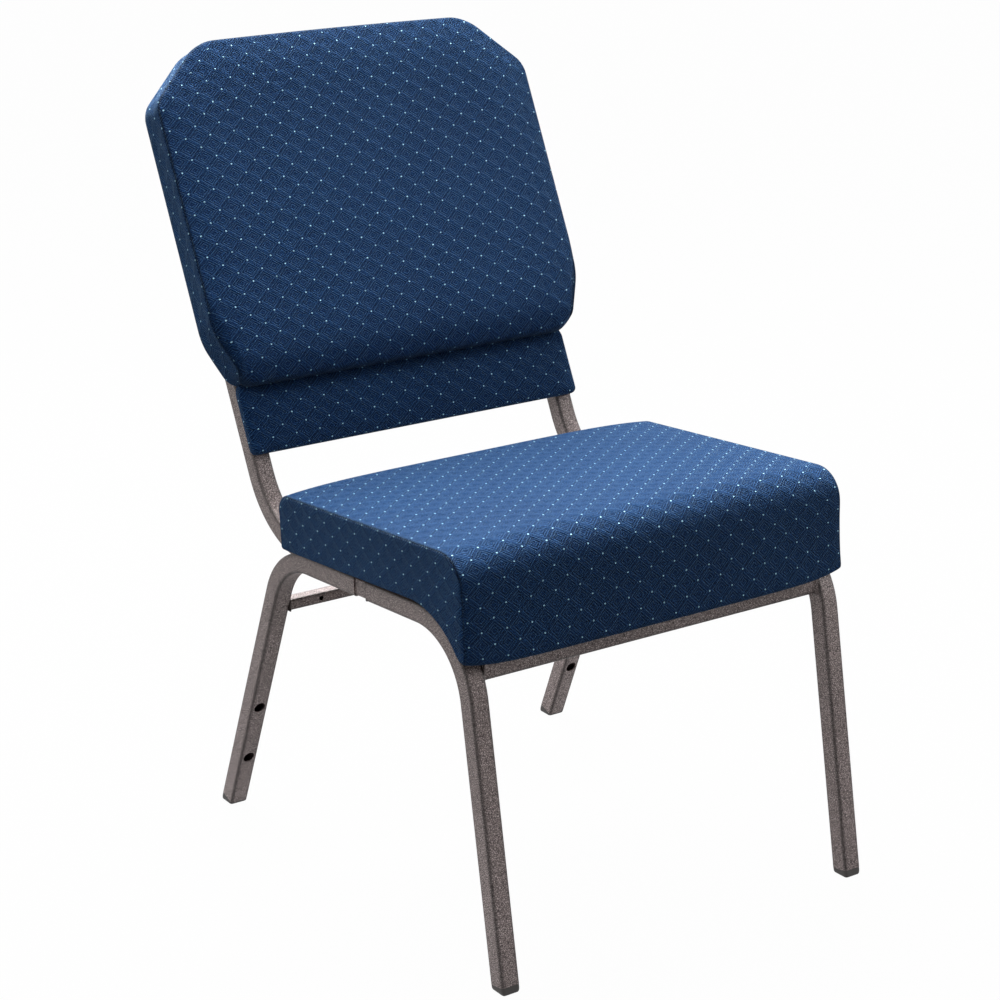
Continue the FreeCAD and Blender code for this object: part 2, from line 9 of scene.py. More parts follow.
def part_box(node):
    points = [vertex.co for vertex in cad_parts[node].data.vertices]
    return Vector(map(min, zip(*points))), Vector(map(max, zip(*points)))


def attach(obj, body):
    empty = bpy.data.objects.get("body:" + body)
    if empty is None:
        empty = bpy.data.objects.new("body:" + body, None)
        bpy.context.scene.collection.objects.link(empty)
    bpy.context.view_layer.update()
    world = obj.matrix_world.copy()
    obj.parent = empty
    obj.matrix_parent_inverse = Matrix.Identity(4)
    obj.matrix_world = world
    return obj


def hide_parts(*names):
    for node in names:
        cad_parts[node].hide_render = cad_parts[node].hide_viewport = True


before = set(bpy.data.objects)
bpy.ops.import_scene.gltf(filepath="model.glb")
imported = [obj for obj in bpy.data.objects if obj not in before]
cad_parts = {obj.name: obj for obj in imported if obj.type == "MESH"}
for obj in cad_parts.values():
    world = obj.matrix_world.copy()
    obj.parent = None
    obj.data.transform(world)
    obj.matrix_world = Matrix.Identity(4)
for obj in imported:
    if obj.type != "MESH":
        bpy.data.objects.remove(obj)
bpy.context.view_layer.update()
scene = bpy.context.scene

# All shapes are drawn in millimetres in their own frame and brought to metres by these placements.
MM = 0.001
CHAIR_AT = Matrix.Scale(MM, 4)
SEAT_TILT = 4.6
BACK_LEAN = 25.85
SEAT_TURN = Matrix.Rotation(math.radians(-SEAT_TILT), 4, "X")
BACK_TURN = Matrix.Rotation(math.radians(-BACK_LEAN), 4, "X")
SEAT_AT = Matrix.Translation((0, 0.045952, 0.365898)) @ SEAT_TURN @ CHAIR_AT
BACK_AT = Matrix.Translation((0, 0.158585, 0.439701)) @ BACK_TURN @ CHAIR_AT
X_AXIS = Vector((1, 0, 0))
Y_AXIS = Vector((0, 1, 0))
Z_AXIS = Vector((0, 0, 1))
SIDES = {"left": -1, "right": 1}

# Steel tube frame
TUBE = 22.2
TUBE_WALL = 1.5
TUBE_CORNER = 3.0
CORNER_STEPS = 4
# Painted shade along the rounded tube corners, for their dark reflection: how far onto the flat sides it
# fades out, and how much it fades across the round
CORNER_SHADE = 1.7
CORNER_FADE = 0.65
FRAME_X = 233.5
UPRIGHT_X = 211.3
INNER_X = 222.4
LEG_BEND = 87.0
UPRIGHT_BEND = 112.0
BEND_STEPS = 28
RAIL_SLOPE = -3.6
FRONT_FOOT = Vector((0, -352.048, 7.0))
FRONT_CORNER = Vector((0, -284.459, 375.264))
REAR_FOOT = Vector((0, 207.952, 7.0))
REAR_CORNER = Vector((0, 68.126, 353.081))
BACK_CORNER = Vector((0, 127.152, 349.367))
RAIL_FRONT_END = -112.048
RAIL_REAR_END = -89.048
UPRIGHT_START = -134.048
UPRIGHT_LENGTH = 513.0
LEG_HOLE = 7.0
LEG_HOLE_PATCH = 10.0
LEG_HOLE_REACH = 11.0
LEG_HOLES = {"left": (71.5, 150.3), "right": (78.6, 157.4)}
FRONT_RAIL_HIGH = 330.5
REAR_RAIL_AT = Vector((0, 92.267, 283.5))
REAR_RAIL_DEEP = 16.0
REAR_RAIL_TALL = 12.7
REAR_RAIL_WALL = 1.2
REAR_RAIL_CORNER = 2.0
RAIL_HOLE = 2.75
RAIL_HOLE_INSET = 41.0
RAIL_HOLE_PATCH = 4.0
RAIL_HOLE_REACH = 5.5
FIT = 0.2
HOLE_STEPS = 32
# Glides: share of the way down to the floor, and size
GLIDE_ROWS = ((0.4, 1.0), (0.66, 0.985), (0.84, 0.95), (0.95, 0.9), (1.0, 0.8))

# Welds: how far a bead stands out, how far it runs up the tube, and how dark it is: the weld's own darkness
# and, strongest at the rail joints, painted shade of the step where the tubes meet. Rows give shares of the
# run and of the rise, from the tube's skin down to the foot.
FRONT_WELD = (2.4, 3.2, 0.35)
REAR_WELD = (1.4, 2.4, 0.35)
JOINT_WELD = (1.8, 3.0, 1.0)
WELD_ROWS = ((0.62, 0.55), (0.3, 0.8), (0.0, 1.0))
WELD_CORNER = 2.0
WELD_GRID = 2.4
WELD_CUTS = 5
WELD_RIPPLE = 0.42
WELD_ROUGH = 0.7
WELD_MOTTLE = 0.3

# Seat cushion, from the rear edge of the seat board forwards (-Y) and up from its underside
SEAT_HALF = 251.0
SEAT_REAR = 6.0
SEAT_FRONT = -350.0
SEAT_EDGE = 63.0
SEAT_CROWN = 5.5
SEAT_BULGE = 2.0
SEAT_DEPTH_CROWN = 1.5
SEAT_BEND = 103.5
SEAT_FLAT = -251.0
SEAT_BOARD_HALF = 244.3
SEAT_BOARD = 12.3
LIP_TURN = math.radians(58.66)
LIP_RISE = 1.5
HEEL = 0.3
# The cover's corners round its side outline: rear foot, rear top, front top and front foot
SEAT_ROUNDS = (4.0, 18.0, 36.0, 4.0)
SEAT_ROUND_STEPS = (4, 6, 8, 3)
# Straight stretches over these lengths are divided: the top first, then the rear and the front
SEAT_TOP_OVER = 200
SEAT_TOP_CUTS = 43
SEAT_SIDE_OVER = 30
SEAT_SIDE_CUTS = 8
SEAT_REAR_STEPS = 17
SEAT_TOP_STEPS = 51
LIP_STEPS = 15
UNDER_STEPS = 36
SEAT_ACROSS = 70
NEAR_SEAM = (0.0, 1.5, 4.0, 8.5)
SIDE_INSETS = (1.5, 4.0)
# Seams draw in by the first pull, and by both along the front's edges
SEAM_PULL = 1.2
SEAM_SINK = 0.8
FRONT_PULL = 3.3
PULL_BESIDE = (0.62, 0.3, 0.08)
FRONT_SEAM = (405, 470)
LIP_SLACK = 0.2
LIP_SLACK_REACH = 40
# Painted shade along the seat's seam groove and on the rows beside it, with less of it towards the front
SEAM_FADE = 0.35
BESIDE_SHADE = 0.45
BESIDE_FADE = 0.2
# The cover's front edge hangs slack below the cushion, and bellies out
SEAT_HANG = 8.0
HANG_REACH = (60.0, 6.0)
HANG_BELLY = 3.0
BELLY_REACH = (12.0, 0.0)

# Back pads, across the back and up its slope, with the depth towards the sitter as -Y
PAD_HALF = 252
PAD_LOW = 79
PAD_CORNERS = ((225, PAD_LOW), (PAD_HALF, 142), (PAD_HALF, 406), (183, 471),
    (-183, 471), (-PAD_HALF, 406), (-PAD_HALF, 142), (-225, PAD_LOW))
PAD_ROUNDS = (25, 60, 28, 52, 52, 28, 60, 25)
PAD_ARC_STEPS = (5, 4, 5, 6, 6, 5, 4, 5)
PAD_SIDE_STEPS = (6, 34, 8, 56, 8, 34, 6, 60)
PAD_DEEP = 39.4
PAD_CROWN = 6.5
PAD_EASE = 95.0
PAD_ROLL = 13.0
PAD_EDGE = ((37.6, 0.0), (38.0, 1.5), (39.6, 1.2), (40.4, 3.4))
PAD_VALLEY = ((33.5, -0.4), (34.0, 2.6), (36.2, 4.6), (39.3, 8.4))
PAD_ROLLED = ((13.0, -4.0), (21.0, -3.0), (28.5, -1.6), (34.0, 0.6))
PAD_LIFT = -1.85
PAD_BAND = ((35.2, -0.2), (29.0, 0.3), (23.0, 0.8), (16.5, 0.9), (10.0, 0.6), (4.5, 0.2), (1.2, 0.3),
    (-0.5, 1.5), (-0.9, 3.6))
BAND_ROLL = 0.65
PAD_QUARTERS = ((-238.5, 110.5), (238.5, 110.5), (217.5, 438.5), (-217.5, 438.5))
PAD_BOW = 2.0
PAD_BOW_HALF = 205
PAD_BOW_FROM = 440
# Heights between which the pad's rolled bottom edge and the creases of its lower corners fade
ROLL_FADE = (79.5, 94)
CREASE_START = (78, 90)
CREASE_END = (138, 180)
# The band is cut slimmer near the lower corners
SLIM = 0.25
SLIM_ACROSS = 70
SLIM_UP = 120
# The edge turned over the back board, and the stretch of it over the lumbar pad
LOW_EDGE_TOP = 100
LOW_EDGE_HALF = 228
LUMBAR_GAP = -0.3
BOARD_GAP = 0.15
TURN_HALF = 222.9
TURN_TOP = 422.5
PANEL_TURN_TOP = 416.0
PANEL_TURN_HALF = 198
LOW_TURN = 2.0
PAD_SMOOTHING = 3
# Painted shade of the three front rows along the seam, and painted shade in the creases and under the rolled
# edge
ROW_SHADES = ((0.3, 0.75), (1.0, 0.6), (0.45, 0.3))
SEAM_SHADE = 0.9
SEAM_HIDDEN = 0.9
CREASE_SHADE = 0.75
ROLL_SHADE = 0.75
CLOTH_TURN = 2.4

# Lumbar pad and rear panel. An outline gives the half width, bottom, top, corner and grid, the rows give
# depths and insets, and a crown gives the depth, height and ease.
LUMBAR_OUTLINE = (225.5, 0.0, 78.0, 7.0, 6.5)
LUMBAR_FRONT = ((7.5, 0.0), (10.0, 0.7), (11.2, 2.4), (11.9, 5.0))
LUMBAR_REAR = ((4.0, 0.1), (1.2, 0.0), (0.3, 0.7))
LUMBAR_CROWN = (11.0, 2.0, 28.0)
LUMBAR_SMOOTHING = 4
LUMBAR_TUCK = 3.8
LUMBAR_TUCK_FADE = (74, 77)
LUMBAR_CLOTH_SHIFT = 3
EDGE_SLOPE = 0.7
PANEL_OUTLINE = (198.2, 8.0, 418.0, 5.0, 8.0)
PANEL_FRONT = ((-2.6, 0.0), (-4.4, 0.7), (-5.0, 2.2), (-5.3, 5.0))
PANEL_REAR = ((-1.6, 0.3), (-1.0, 1.2))
PANEL_CROWN = (-5.0, -1.6, 40.0)
PANEL_BACK = 1.0
PANEL_ARC_STEPS = 6
BOARD_DEEP = 9.3
BOARD_MARGIN = 5.7

# Filling: its pressure, the frames it swells for, and how far thick and thin pads may swell, in metres
SWELL_PRESSURE = 4.0
SWELL_FRAMES = 20
THICK_SWELL = 0.004
THIN_SWELL = 0.003

# Weave on the cloth map, in metres; rings give the relief from a lozenge's middle out to its edge
WEAVE_ACROSS = 0.0306
WEAVE_ALONG = 0.0246
WEAVE_DOT = 0.00074
WEAVE_RINGS = ((0.0, 0.3), (0.1, 0.2), (0.2, 0.2), (0.29, 0.56), (0.36, 0.16), (0.46, 0.22), (0.55, 0.62),
    (0.61, 0.15), (0.7, 0.2), (0.79, 0.58), (0.825, 0.54), (0.87, 0.15), (0.94, 0.3), (1.0, 0.28))
BAR_FROM = 0.44
BAR_HALF = 0.3
BAR_DEPTH = 0.1
DOT_FADE = 2.2
TWILL_SCALE = 260.0
YARN_SCALE = 620.0

# Camera as solved from the photograph's parallel edges
CAMERA_AT = Vector((-1.6051, -2.3045, 1.3203))
CAMERA_AZIMUTH = math.radians(-34.96)
CAMERA_ELEVATION = math.radians(18.35)
CAMERA_LENS = 94.17

# Surround: the floor's own grey and its share of plain white, and the light from all round
FLOOR_GREY = 0.14
FLOOR_GLOW = 0.985
FLOOR_SIZE = 9.0
AMBIENT = 0.06
WHITE = (1, 1, 1, 1)


def srgb(red, green, blue):
    """Linear colour of an 8 bit display colour."""
    values = [channel / 255 for channel in (red, green, blue)]
    return [v / 12.92 if v <= 0.04045 else ((v + 0.055) / 1.055) ** 2.4 for v in values] + [1.0]


def join(tree, node, values):
    """Joins sockets to a node's inputs, or sets constants there, by input name or index."""
    for key, value in values.items():
        socket = node.inputs[key]
        if isinstance(value, bpy.types.NodeSocket):
            tree.links.new(value, socket)
        else:
            socket.default_value = value


def add(tree, kind, values=None, **settings):
    """New shader node with its settings, and its inputs joined or set."""
    made = tree.nodes.new(kind)
    for key, value in settings.items():
        setattr(made, key, value)
    join(tree, made, values or {})
    return made


def math_node(tree, operation, first, second=0.0, clamp=False):
    values = {0: first, 1: second}
    return add(tree, "ShaderNodeMath", values, operation=operation, use_clamp=clamp).outputs[0]


def ramp(tree, value, stops):
    """Colour ramp; each stop is a place and a grey level or a colour."""
    made = add(tree, "ShaderNodeValToRGB", {"Fac": value})
    elements = made.color_ramp.elements
    for index, (place, colour) in enumerate(stops):
        element = elements[index] if index < 2 else elements.new(place)
        element.position = place
        element.color = colour if isinstance(colour, (list, tuple)) else (colour, colour, colour, 1)
    return made.outputs["Color"]


def mix(tree, factor, first, second, blend="MIX"):
    values = {0: factor, 6: first, 7: second}
    return add(tree, "ShaderNodeMix", values, data_type="RGBA", blend_type=blend).outputs[2]


def use_group(tree, group, values):
    return add(tree, "ShaderNodeGroup", values, node_tree=group)


def bump(tree, shader, height, strength, distance):
    made = add(tree, "ShaderNodeBump", {"Height": height, "Strength": strength, "Distance": distance})
    join(tree, shader, {"Normal": made.outputs["Normal"]})


def shader_group(name, inputs, outputs):
    """Empty shader node group with named sockets, and its input and output nodes."""
    group = bpy.data.node_groups.new(name, "ShaderNodeTree")
    for socket, kind, default in inputs:
        made = group.interface.new_socket(socket, in_out="INPUT", socket_type=kind)
        if default is not None:
            made.default_value = default
    for socket, kind in outputs:
        group.interface.new_socket(socket, in_out="OUTPUT", socket_type=kind)
    return group, group.nodes.new("NodeGroupInput"), group.nodes.new("NodeGroupOutput")


def lozenge_weave():
    """Woven lozenges on a cloth map in metres: nested diamonds with a raised dot at each cell corner."""
    inputs = [("Cloth", "NodeSocketVector", None), ("Across", "NodeSocketFloat", WEAVE_ACROSS)]
    inputs += [("Along", "NodeSocketFloat", WEAVE_ALONG), ("Dot", "NodeSocketFloat", WEAVE_DOT)]
    outputs = [(name, "NodeSocketFloat") for name in ("Relief", "Dots", "Twill", "Mottle")]
    group, start, end = shader_group("lozenge_weave", inputs, outputs)
    cloth = start.outputs["Cloth"]
    parts = add(group, "ShaderNodeSeparateXYZ", {0: cloth})
    across = math_node(group, "DIVIDE", parts.outputs[0], start.outputs["Across"])
    along = math_node(group, "DIVIDE", parts.outputs[1], start.outputs["Along"])
    halves = []
    for operation in ("ADD", "SUBTRACT"):
        turned = math_node(group, operation, across, along)
        share = math_node(group, "SUBTRACT", math_node(group, "FRACT", turned), 0.5)
        halves.append(math_node(group, "ABSOLUTE", share))
    ring = math_node(group, "MULTIPLY", math_node(group, "MAXIMUM", halves[0], halves[1]), 2.0)
    nested = ramp(group, ring, WEAVE_RINGS)
    edge = math_node(group, "GREATER_THAN", halves[1], BAR_FROM)
    middle = math_node(group, "LESS_THAN", halves[0], BAR_HALF)
    bar = math_node(group, "MULTIPLY", edge, middle)
    relief = math_node(group, "SUBTRACT", nested, math_node(group, "MULTIPLY", bar, BAR_DEPTH))
    near = [math_node(group, "SUBTRACT", 0.5, half) for half in halves]
    total = math_node(group, "ADD", near[0], near[1])
    apart = math_node(group, "SUBTRACT", near[0], near[1])
    half_across = math_node(group, "MULTIPLY", start.outputs["Across"], 0.5)
    half_along = math_node(group, "MULTIPLY", start.outputs["Along"], 0.5)
    reaches = []
    for aside, ahead in ((total, apart), (apart, total)):
        x = math_node(group, "MULTIPLY", aside, half_across)
        y = math_node(group, "MULTIPLY", ahead, half_along)
        squares = [math_node(group, "MULTIPLY", step, step) for step in (x, y)]
        reaches.append(math_node(group, "SQRT", math_node(group, "ADD", squares[0], squares[1])))
    nearest = math_node(group, "MINIMUM", reaches[0], reaches[1])
    reach = math_node(group, "DIVIDE", nearest, start.outputs["Dot"])
    dots = math_node(group, "MULTIPLY_ADD", reach, -DOT_FADE, clamp=True)
    dots.node.inputs[2].default_value = DOT_FADE + 1
    waves = {"Vector": cloth, "Scale": TWILL_SCALE, "Distortion": 0.6, "Detail": 1.0}
    twill = add(group, "ShaderNodeTexWave", waves, wave_type="BANDS", bands_direction="DIAGONAL")
    specks = {"Vector": cloth, "Scale": YARN_SCALE, "Detail": 3.0, "Roughness": 0.7}
    yarns = add(group, "ShaderNodeTexNoise", specks)
    mottle = ramp(group, yarns.outputs["Fac"], [(0.34, 0.0), (0.66, 1.0)])
    join(group, end, {"Relief": relief, "Dots": dots, "Twill": twill.outputs["Fac"], "Mottle": mottle})
    return group


def surface_grain():
    """Two sizes of grain on object coordinates: a fine speck and a slow drift."""
    inputs = [("Fine", "NodeSocketFloat", 600.0), ("Slow", "NodeSocketFloat", 12.0)]
    outputs = [("Speck", "NodeSocketFloat"), ("Drift", "NodeSocketFloat")]
    group, start, end = shader_group("surface_grain", inputs, outputs)
    place = add(group, "ShaderNodeTexCoord").outputs["Object"]
    fine = {"Vector": place, "Scale": start.outputs["Fine"], "Detail": 4.0, "Roughness": 0.7}
    slow = {"Vector": place, "Scale": start.outputs["Slow"], "Detail": 3.0}
    speck = add(group, "ShaderNodeTexNoise", fine)
    drift = add(group, "ShaderNodeTexNoise", slow)
    join(group, end, {"Speck": speck.outputs["Fac"], "Drift": drift.outputs["Fac"]})
    return group


WEAVE = lozenge_weave()
GRAIN = surface_grain()


def new_material(name):
    material = bpy.data.materials.new(name)
    material.use_nodes = True
    tree = material.node_tree
    return material, tree, tree.nodes["Principled BSDF"]


def weighted(tree, *terms):
    """Sum of sockets, each times its weight."""
    parts = [math_node(tree, "MULTIPLY", socket, weight) for socket, weight in terms]
    total = parts[0]
    for part in parts[1:]:
        total = math_node(tree, "ADD", total, part)
    return total


def cover_cloth():
    """Navy jacquard with pale woven diamonds, painted shade in seams, creases and rolled edges, and a soft
    sheen.
    """
    material, tree, shader = new_material("navy_jacquard")
    cloth = add(tree, "ShaderNodeUVMap", uv_map="cloth").outputs["UV"]
    weave = use_group(tree, WEAVE, {"Cloth": cloth})
    relief, dots, twill, mottle = [weave.outputs[name] for name in ("Relief", "Dots", "Twill", "Mottle")]
    grains = use_group(tree, GRAIN, {"Fine": 900.0, "Slow": 7.0})
    level = weighted(tree, (relief, 1.0), (twill, 0.26), (mottle, 0.62))
    level = math_node(tree, "SUBTRACT", level, 0.4)
    yarn = ramp(tree, level, [(0.0, srgb(5, 18, 44)), (0.35, srgb(22, 51, 92)), (0.65, srgb(42, 80, 125)),
        (1.0, srgb(90, 127, 166))])
    drift = ramp(tree, grains.outputs["Drift"], [(0.3, (0.9, 0.9, 0.92, 1)), (0.7, (1.06, 1.06, 1.05, 1))])
    toned = mix(tree, 1.0, yarn, drift, "MULTIPLY")
    dotted = mix(tree, dots, toned, srgb(176, 226, 250))
    # The seam layer paints shade: the shadow in the seam grooves, in the creases of the back's lower corners
    # and under its rolled bottom edge.
    seam = add(tree, "ShaderNodeAttribute", attribute_name="seam").outputs["Fac"]
    join(tree, shader, {"Base Color": mix(tree, seam, dotted, srgb(5, 11, 24)), "Roughness": 0.75})
    raised = weighted(tree, (relief, 2.2), (dots, 1.0), (twill, 0.25), (mottle, 0.3))
    bump(tree, shader, raised, 1.0, 0.0015)
    sheen = {"Sheen Weight": 0.2, "Sheen Roughness": 0.35, "Sheen Tint": srgb(176, 216, 246)}
    join(tree, shader, {"Specular IOR Level": 0.03, **sheen})
    return material


def vein_coat():
    """Brown-grey vein powder coat: a fine dark net over pale flecks, with painted shade along the tube
    corners and painted light by height.
    """
    material, tree, shader = new_material("brown_grey_vein_coat")
    place = add(tree, "ShaderNodeTexCoord").outputs["Object"]
    grains = use_group(tree, GRAIN, {"Fine": 900.0, "Slow": 9.0})
    speck = grains.outputs["Speck"]
    cells = {"Vector": place, "Scale": 460.0, "Randomness": 1.0}
    net = add(tree, "ShaderNodeTexVoronoi", cells, feature="DISTANCE_TO_EDGE").outputs["Distance"]
    vein = ramp(tree, net, [(0.0, 0.0), (0.16, 1.0)])
    fleck = ramp(tree, speck, [(0.36, srgb(80, 70, 69)), (0.5, srgb(142, 128, 126)),
        (0.64, srgb(222, 209, 206))])
    toned = mix(tree, vein, srgb(54, 47, 46), fleck)
    drift = ramp(tree, grains.outputs["Drift"], [(0.3, (0.86, 0.85, 0.85, 1)), (0.7, (1.08, 1.08, 1.08, 1))])
    # Painted light by height: the coat is lighter towards the feet and darker higher up
    high = add(tree, "ShaderNodeSeparateXYZ", {0: place}).outputs[2]
    painted_height_light = ramp(tree, high, [(0.1, (1.14, 1.13, 1.14, 1)), (0.48, (0.8, 0.79, 0.78, 1))])
    for tint in (drift, painted_height_light):
        toned = mix(tree, 1.0, toned, tint, "MULTIPLY")
    # The corner layer paints shade along the rounded tube corners; on welds it holds the weld's darkness,
    # partly painted shade where the tubes meet
    corner = add(tree, "ShaderNodeAttribute", attribute_name="corner").outputs["Fac"]
    shade = math_node(tree, "MULTIPLY", corner, 0.8)
    colour = mix(tree, shade, toned, srgb(38, 34, 33))
    rough = ramp(tree, speck, [(0.3, 0.55), (0.7, 0.32)])
    join(tree, shader, {"Base Color": colour, "Roughness": rough})
    join(tree, shader, {"Metallic": 0.2, "Specular IOR Level": 0.32})
    bump(tree, shader, weighted(tree, (speck, 1.0), (vein, 0.35)), 0.6, 0.0005)
    return material


def plain_finish(name, grain, tones, roughs, strength, metallic=0.0):
    """Plain material with a slow drift of tone, and fine specks in its gloss and relief."""
    material, tree, shader = new_material(name)
    grains = use_group(tree, GRAIN, grain)
    tone = ramp(tree, grains.outputs["Drift"], [(0.3, tones[0]), (0.7, tones[1])])
    rough = ramp(tree, grains.outputs["Speck"], [(0.3, roughs[0]), (0.7, roughs[1])])
    join(tree, shader, {"Base Color": tone, "Roughness": rough, "Metallic": metallic})
    bump(tree, shader, grains.outputs["Speck"], strength, 0.0002)
    return material


def board_plywood():
    """Rotary cut plywood with long wavy grain."""
    material, tree, shader = new_material("plain_plywood")
    place = add(tree, "ShaderNodeTexCoord").outputs["Object"]
    stretch = {"Vector": place, "Scale": (4.0, 34.0, 34.0)}
    stretched = add(tree, "ShaderNodeMapping", stretch).outputs["Vector"]
    waves = {"Vector": stretched, "Scale": 1.3, "Distortion": 7.0, "Detail": 3.0}
    bands = add(tree, "ShaderNodeTexWave", waves, bands_direction="Y").outputs["Fac"]
    grains = use_group(tree, GRAIN, {"Fine": 420.0, "Slow": 10.0})
    tone = ramp(tree, bands, [(0.1, srgb(164, 124, 82)), (0.55, srgb(196, 158, 112)),
        (0.9, srgb(210, 176, 130))])
    drift = ramp(tree, grains.outputs["Drift"], [(0.3, (0.85, 0.84, 0.82, 1)), (0.7, (1.05, 1.04, 1.02, 1))])
    join(tree, shader, {"Base Color": mix(tree, 1.0, tone, drift, "MULTIPLY"), "Roughness": 0.7})
    bump(tree, shader, math_node(tree, "ADD", bands, grains.outputs["Speck"]), 0.2, 0.0003)
    return material


CLOTH = cover_cloth()
COAT = vein_coat()
PLASTIC = plain_finish("black_moulded_plastic", {"Fine": 1400.0, "Slow": 25.0},
    (srgb(44, 41, 40), srgb(62, 58, 56)), (0.62, 0.46), 0.25)
PLYWOOD = board_plywood()
ZINC = plain_finish("zinc_plated_steel", {"Fine": 900.0, "Slow": 60.0},
    (srgb(150, 152, 154), srgb(196, 198, 198)), (0.42, 0.28), 0.15, metallic=1.0)


def finish_piece(name, bm, placement, material, replaced=()):
    """Turns a bmesh in millimetres into a piece of the chair, in place and in metres."""
    bmesh.ops.transform(bm, matrix=placement, verts=bm.verts)
    mesh = bpy.data.meshes.new(name)
    bm.to_mesh(mesh)
    bm.free()
    mesh.materials.append(material)
    piece = bpy.data.objects.new(name, mesh)
    scene.collection.objects.link(piece)
    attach(piece, "root")
    if replaced:
        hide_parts(*replaced)
    return piece


def crisp(bm, angle=35.0):
    """Smooth shading with hard edges where the surface turns by more than an angle."""
    limit = math.radians(angle)
    for face in bm.faces:
        face.smooth = True
    for edge in bm.edges:
        if len(edge.link_faces) == 2:
            edge.smooth = edge.calc_face_angle(0.0) < limit


def extrude_chain(bm, chain, closed=True):
    """Extrudes a row of vertices and returns the new row in the same order, still in the old place."""
    ends = chain[1:] + chain[:1] if closed else chain[1:]
    edges = [bm.edges.get(pair) for pair in zip(chain, ends)]
    made = bmesh.ops.extrude_edge_only(bm, edges=edges)["geom"]
    fresh = {item for item in made if isinstance(item, bmesh.types.BMVert)}
    return [next(edge.other_vert(vert) for edge in vert.link_edges if edge.other_vert(vert) in fresh)
        for vert in chain]


def smooth_step(low, high, value):
    share = max(0.0, min(1.0, (value - low) / (high - low)))
    return share * share * (3 - 2 * share)


def direction(angle):
    """Unit step in the Y-Z plane, with the angle counted from +Y up to +Z."""
    turn = math.radians(angle)
    return Vector((0, math.cos(turn), math.sin(turn)))


def tube_mesh():
    """Empty mesh of a tube, with its layer for painted shade along its corners; welds use it for their
    darkness.
    """
    bm = bmesh.new()
    bm.verts.layers.float.new("corner")
    return bm


def tube_ring(bm, centre, across, up, width=TUBE, height=TUBE, corner=TUBE_CORNER):
    """Rounded square section as a closed row of vertices, with painted shade along its corners on a layer."""
    shade = bm.verts.layers.float["corner"]
    steps = ((-1, -1), (1, -1), (1, 1), (-1, 1))
    places = [centre + across * (i * width / 2) + up * (j * height / 2) for i, j in steps]
    verts = [bm.verts.new(place) for place in places]
    bm.faces.new(verts)
    bmesh.ops.bevel(bm, geom=verts, offset=corner, offset_type="OFFSET", affect="VERTICES",
        segments=CORNER_STEPS, profile=0.5, material=-1)
    face = next(f for f in bm.faces if len(f.verts) == 4 * (CORNER_STEPS + 1))
    nearest = (math.sqrt(2) - 1) * corner
    for vert in face.verts:
        gap = min((vert.co - place).length for place in places)
        vert[shade] = 1 - CORNER_FADE * (gap - nearest) / (corner - nearest)
    for edge in [edge for edge in face.edges if edge.calc_length() > 2 * CORNER_SHADE]:
        first = edge.verts[0]
        length = edge.calc_length()
        fresh = bmesh.utils.edge_split(edge, first, CORNER_SHADE / length)[1]
        rest = next(e for e in fresh.link_edges if e.other_vert(fresh) is not first)
        last = bmesh.utils.edge_split(rest, fresh, 1 - CORNER_SHADE / (length - CORNER_SHADE))[1]
        fresh[shade] = last[shade] = 0.0
    ring = [loop.vert for loop in face.loops]
    bmesh.ops.delete(bm, geom=[face], context="FACES_ONLY")
    return ring


def sweep_run(bm, ring, along, stops):
    """Carries a section along a straight run, which divides its skin at each stop."""
    done = 0.0
    for stop in stops:
        ring = extrude_chain(bm, ring)
        bmesh.ops.translate(bm, vec=along * (stop - done), verts=ring)
        done = stop
    return ring


def sweep_bend(bm, ring, centre, turn, steps=BEND_STEPS):
    """Carries a section round a bend about an axis along X, by a turn from +Y towards +Z."""
    step = Matrix.Rotation(turn / steps, 3, "X")
    for index in range(steps):
        ring = extrude_chain(bm, ring)
        bmesh.ops.rotate(bm, cent=centre, matrix=step, verts=ring)
    return ring


def finish_tube(node, bm, wall=TUBE_WALL):
    """Gives a swept skin its wall, inwards, and makes it the piece that stands for a node."""
    bmesh.ops.recalc_face_normals(bm, faces=bm.faces)
    bmesh.ops.solidify(bm, geom=bm.faces[:], thickness=wall)
    crisp(bm)
    finish_piece(f"{node}_tube", bm, CHAIR_AT, COAT, [node])


def drill(bm, middle, normal, radius, reach):
    """Opens a round hole in the flat side of a swept tube, in the patch that its runs left for it."""
    patch = [face for face in bm.faces if face.normal.dot(normal) > 0.999
        and (face.calc_center_median() - middle).length < reach
        and abs((face.calc_center_median() - middle).dot(normal)) < 0.1]
    rim = {edge for face in patch for edge in face.edges
        if sum(f in patch for f in edge.link_faces) == 1}
    bmesh.ops.delete(bm, geom=patch, context="FACES")
    turned = normal.to_track_quat("Z", "Y").to_matrix().to_4x4()
    circle = bmesh.ops.create_circle(bm, cap_ends=False, radius=radius, segments=HOLE_STEPS,
        matrix=Matrix.Translation(middle) @ turned)["verts"]
    round_edges = {edge for vert in circle for edge in vert.link_edges}
    bmesh.ops.bridge_loops(bm, edges=list(rim) + list(round_edges))


def bent_tube(start, corner, end, radius, stops=()):
    """Square tube with one bend; stops are distances up the first run where its skin is divided."""
    bm = tube_mesh()
    first = (corner - start).normalized()
    last = (end - corner).normalized()
    turn = math.atan2(first.y * last.z - first.z * last.y, first.dot(last))
    reach = radius * math.tan(abs(turn) / 2)
    inward = X_AXIS.cross(first) * math.copysign(1, turn)
    entry = corner - first * reach
    ring = tube_ring(bm, start, X_AXIS, first.cross(X_AXIS))
    ring = sweep_run(bm, ring, first, [*stops, (entry - start).length])
    ring = sweep_bend(bm, ring, entry + inward * radius, turn)
    sweep_run(bm, ring, last, [(end - corner).length - reach])
    bmesh.ops.recalc_face_normals(bm, faces=bm.faces)
    return bm


def rail_point(y):
    return FRONT_CORNER + direction(RAIL_SLOPE) * ((y - FRONT_CORNER.y) / direction(RAIL_SLOPE).y)


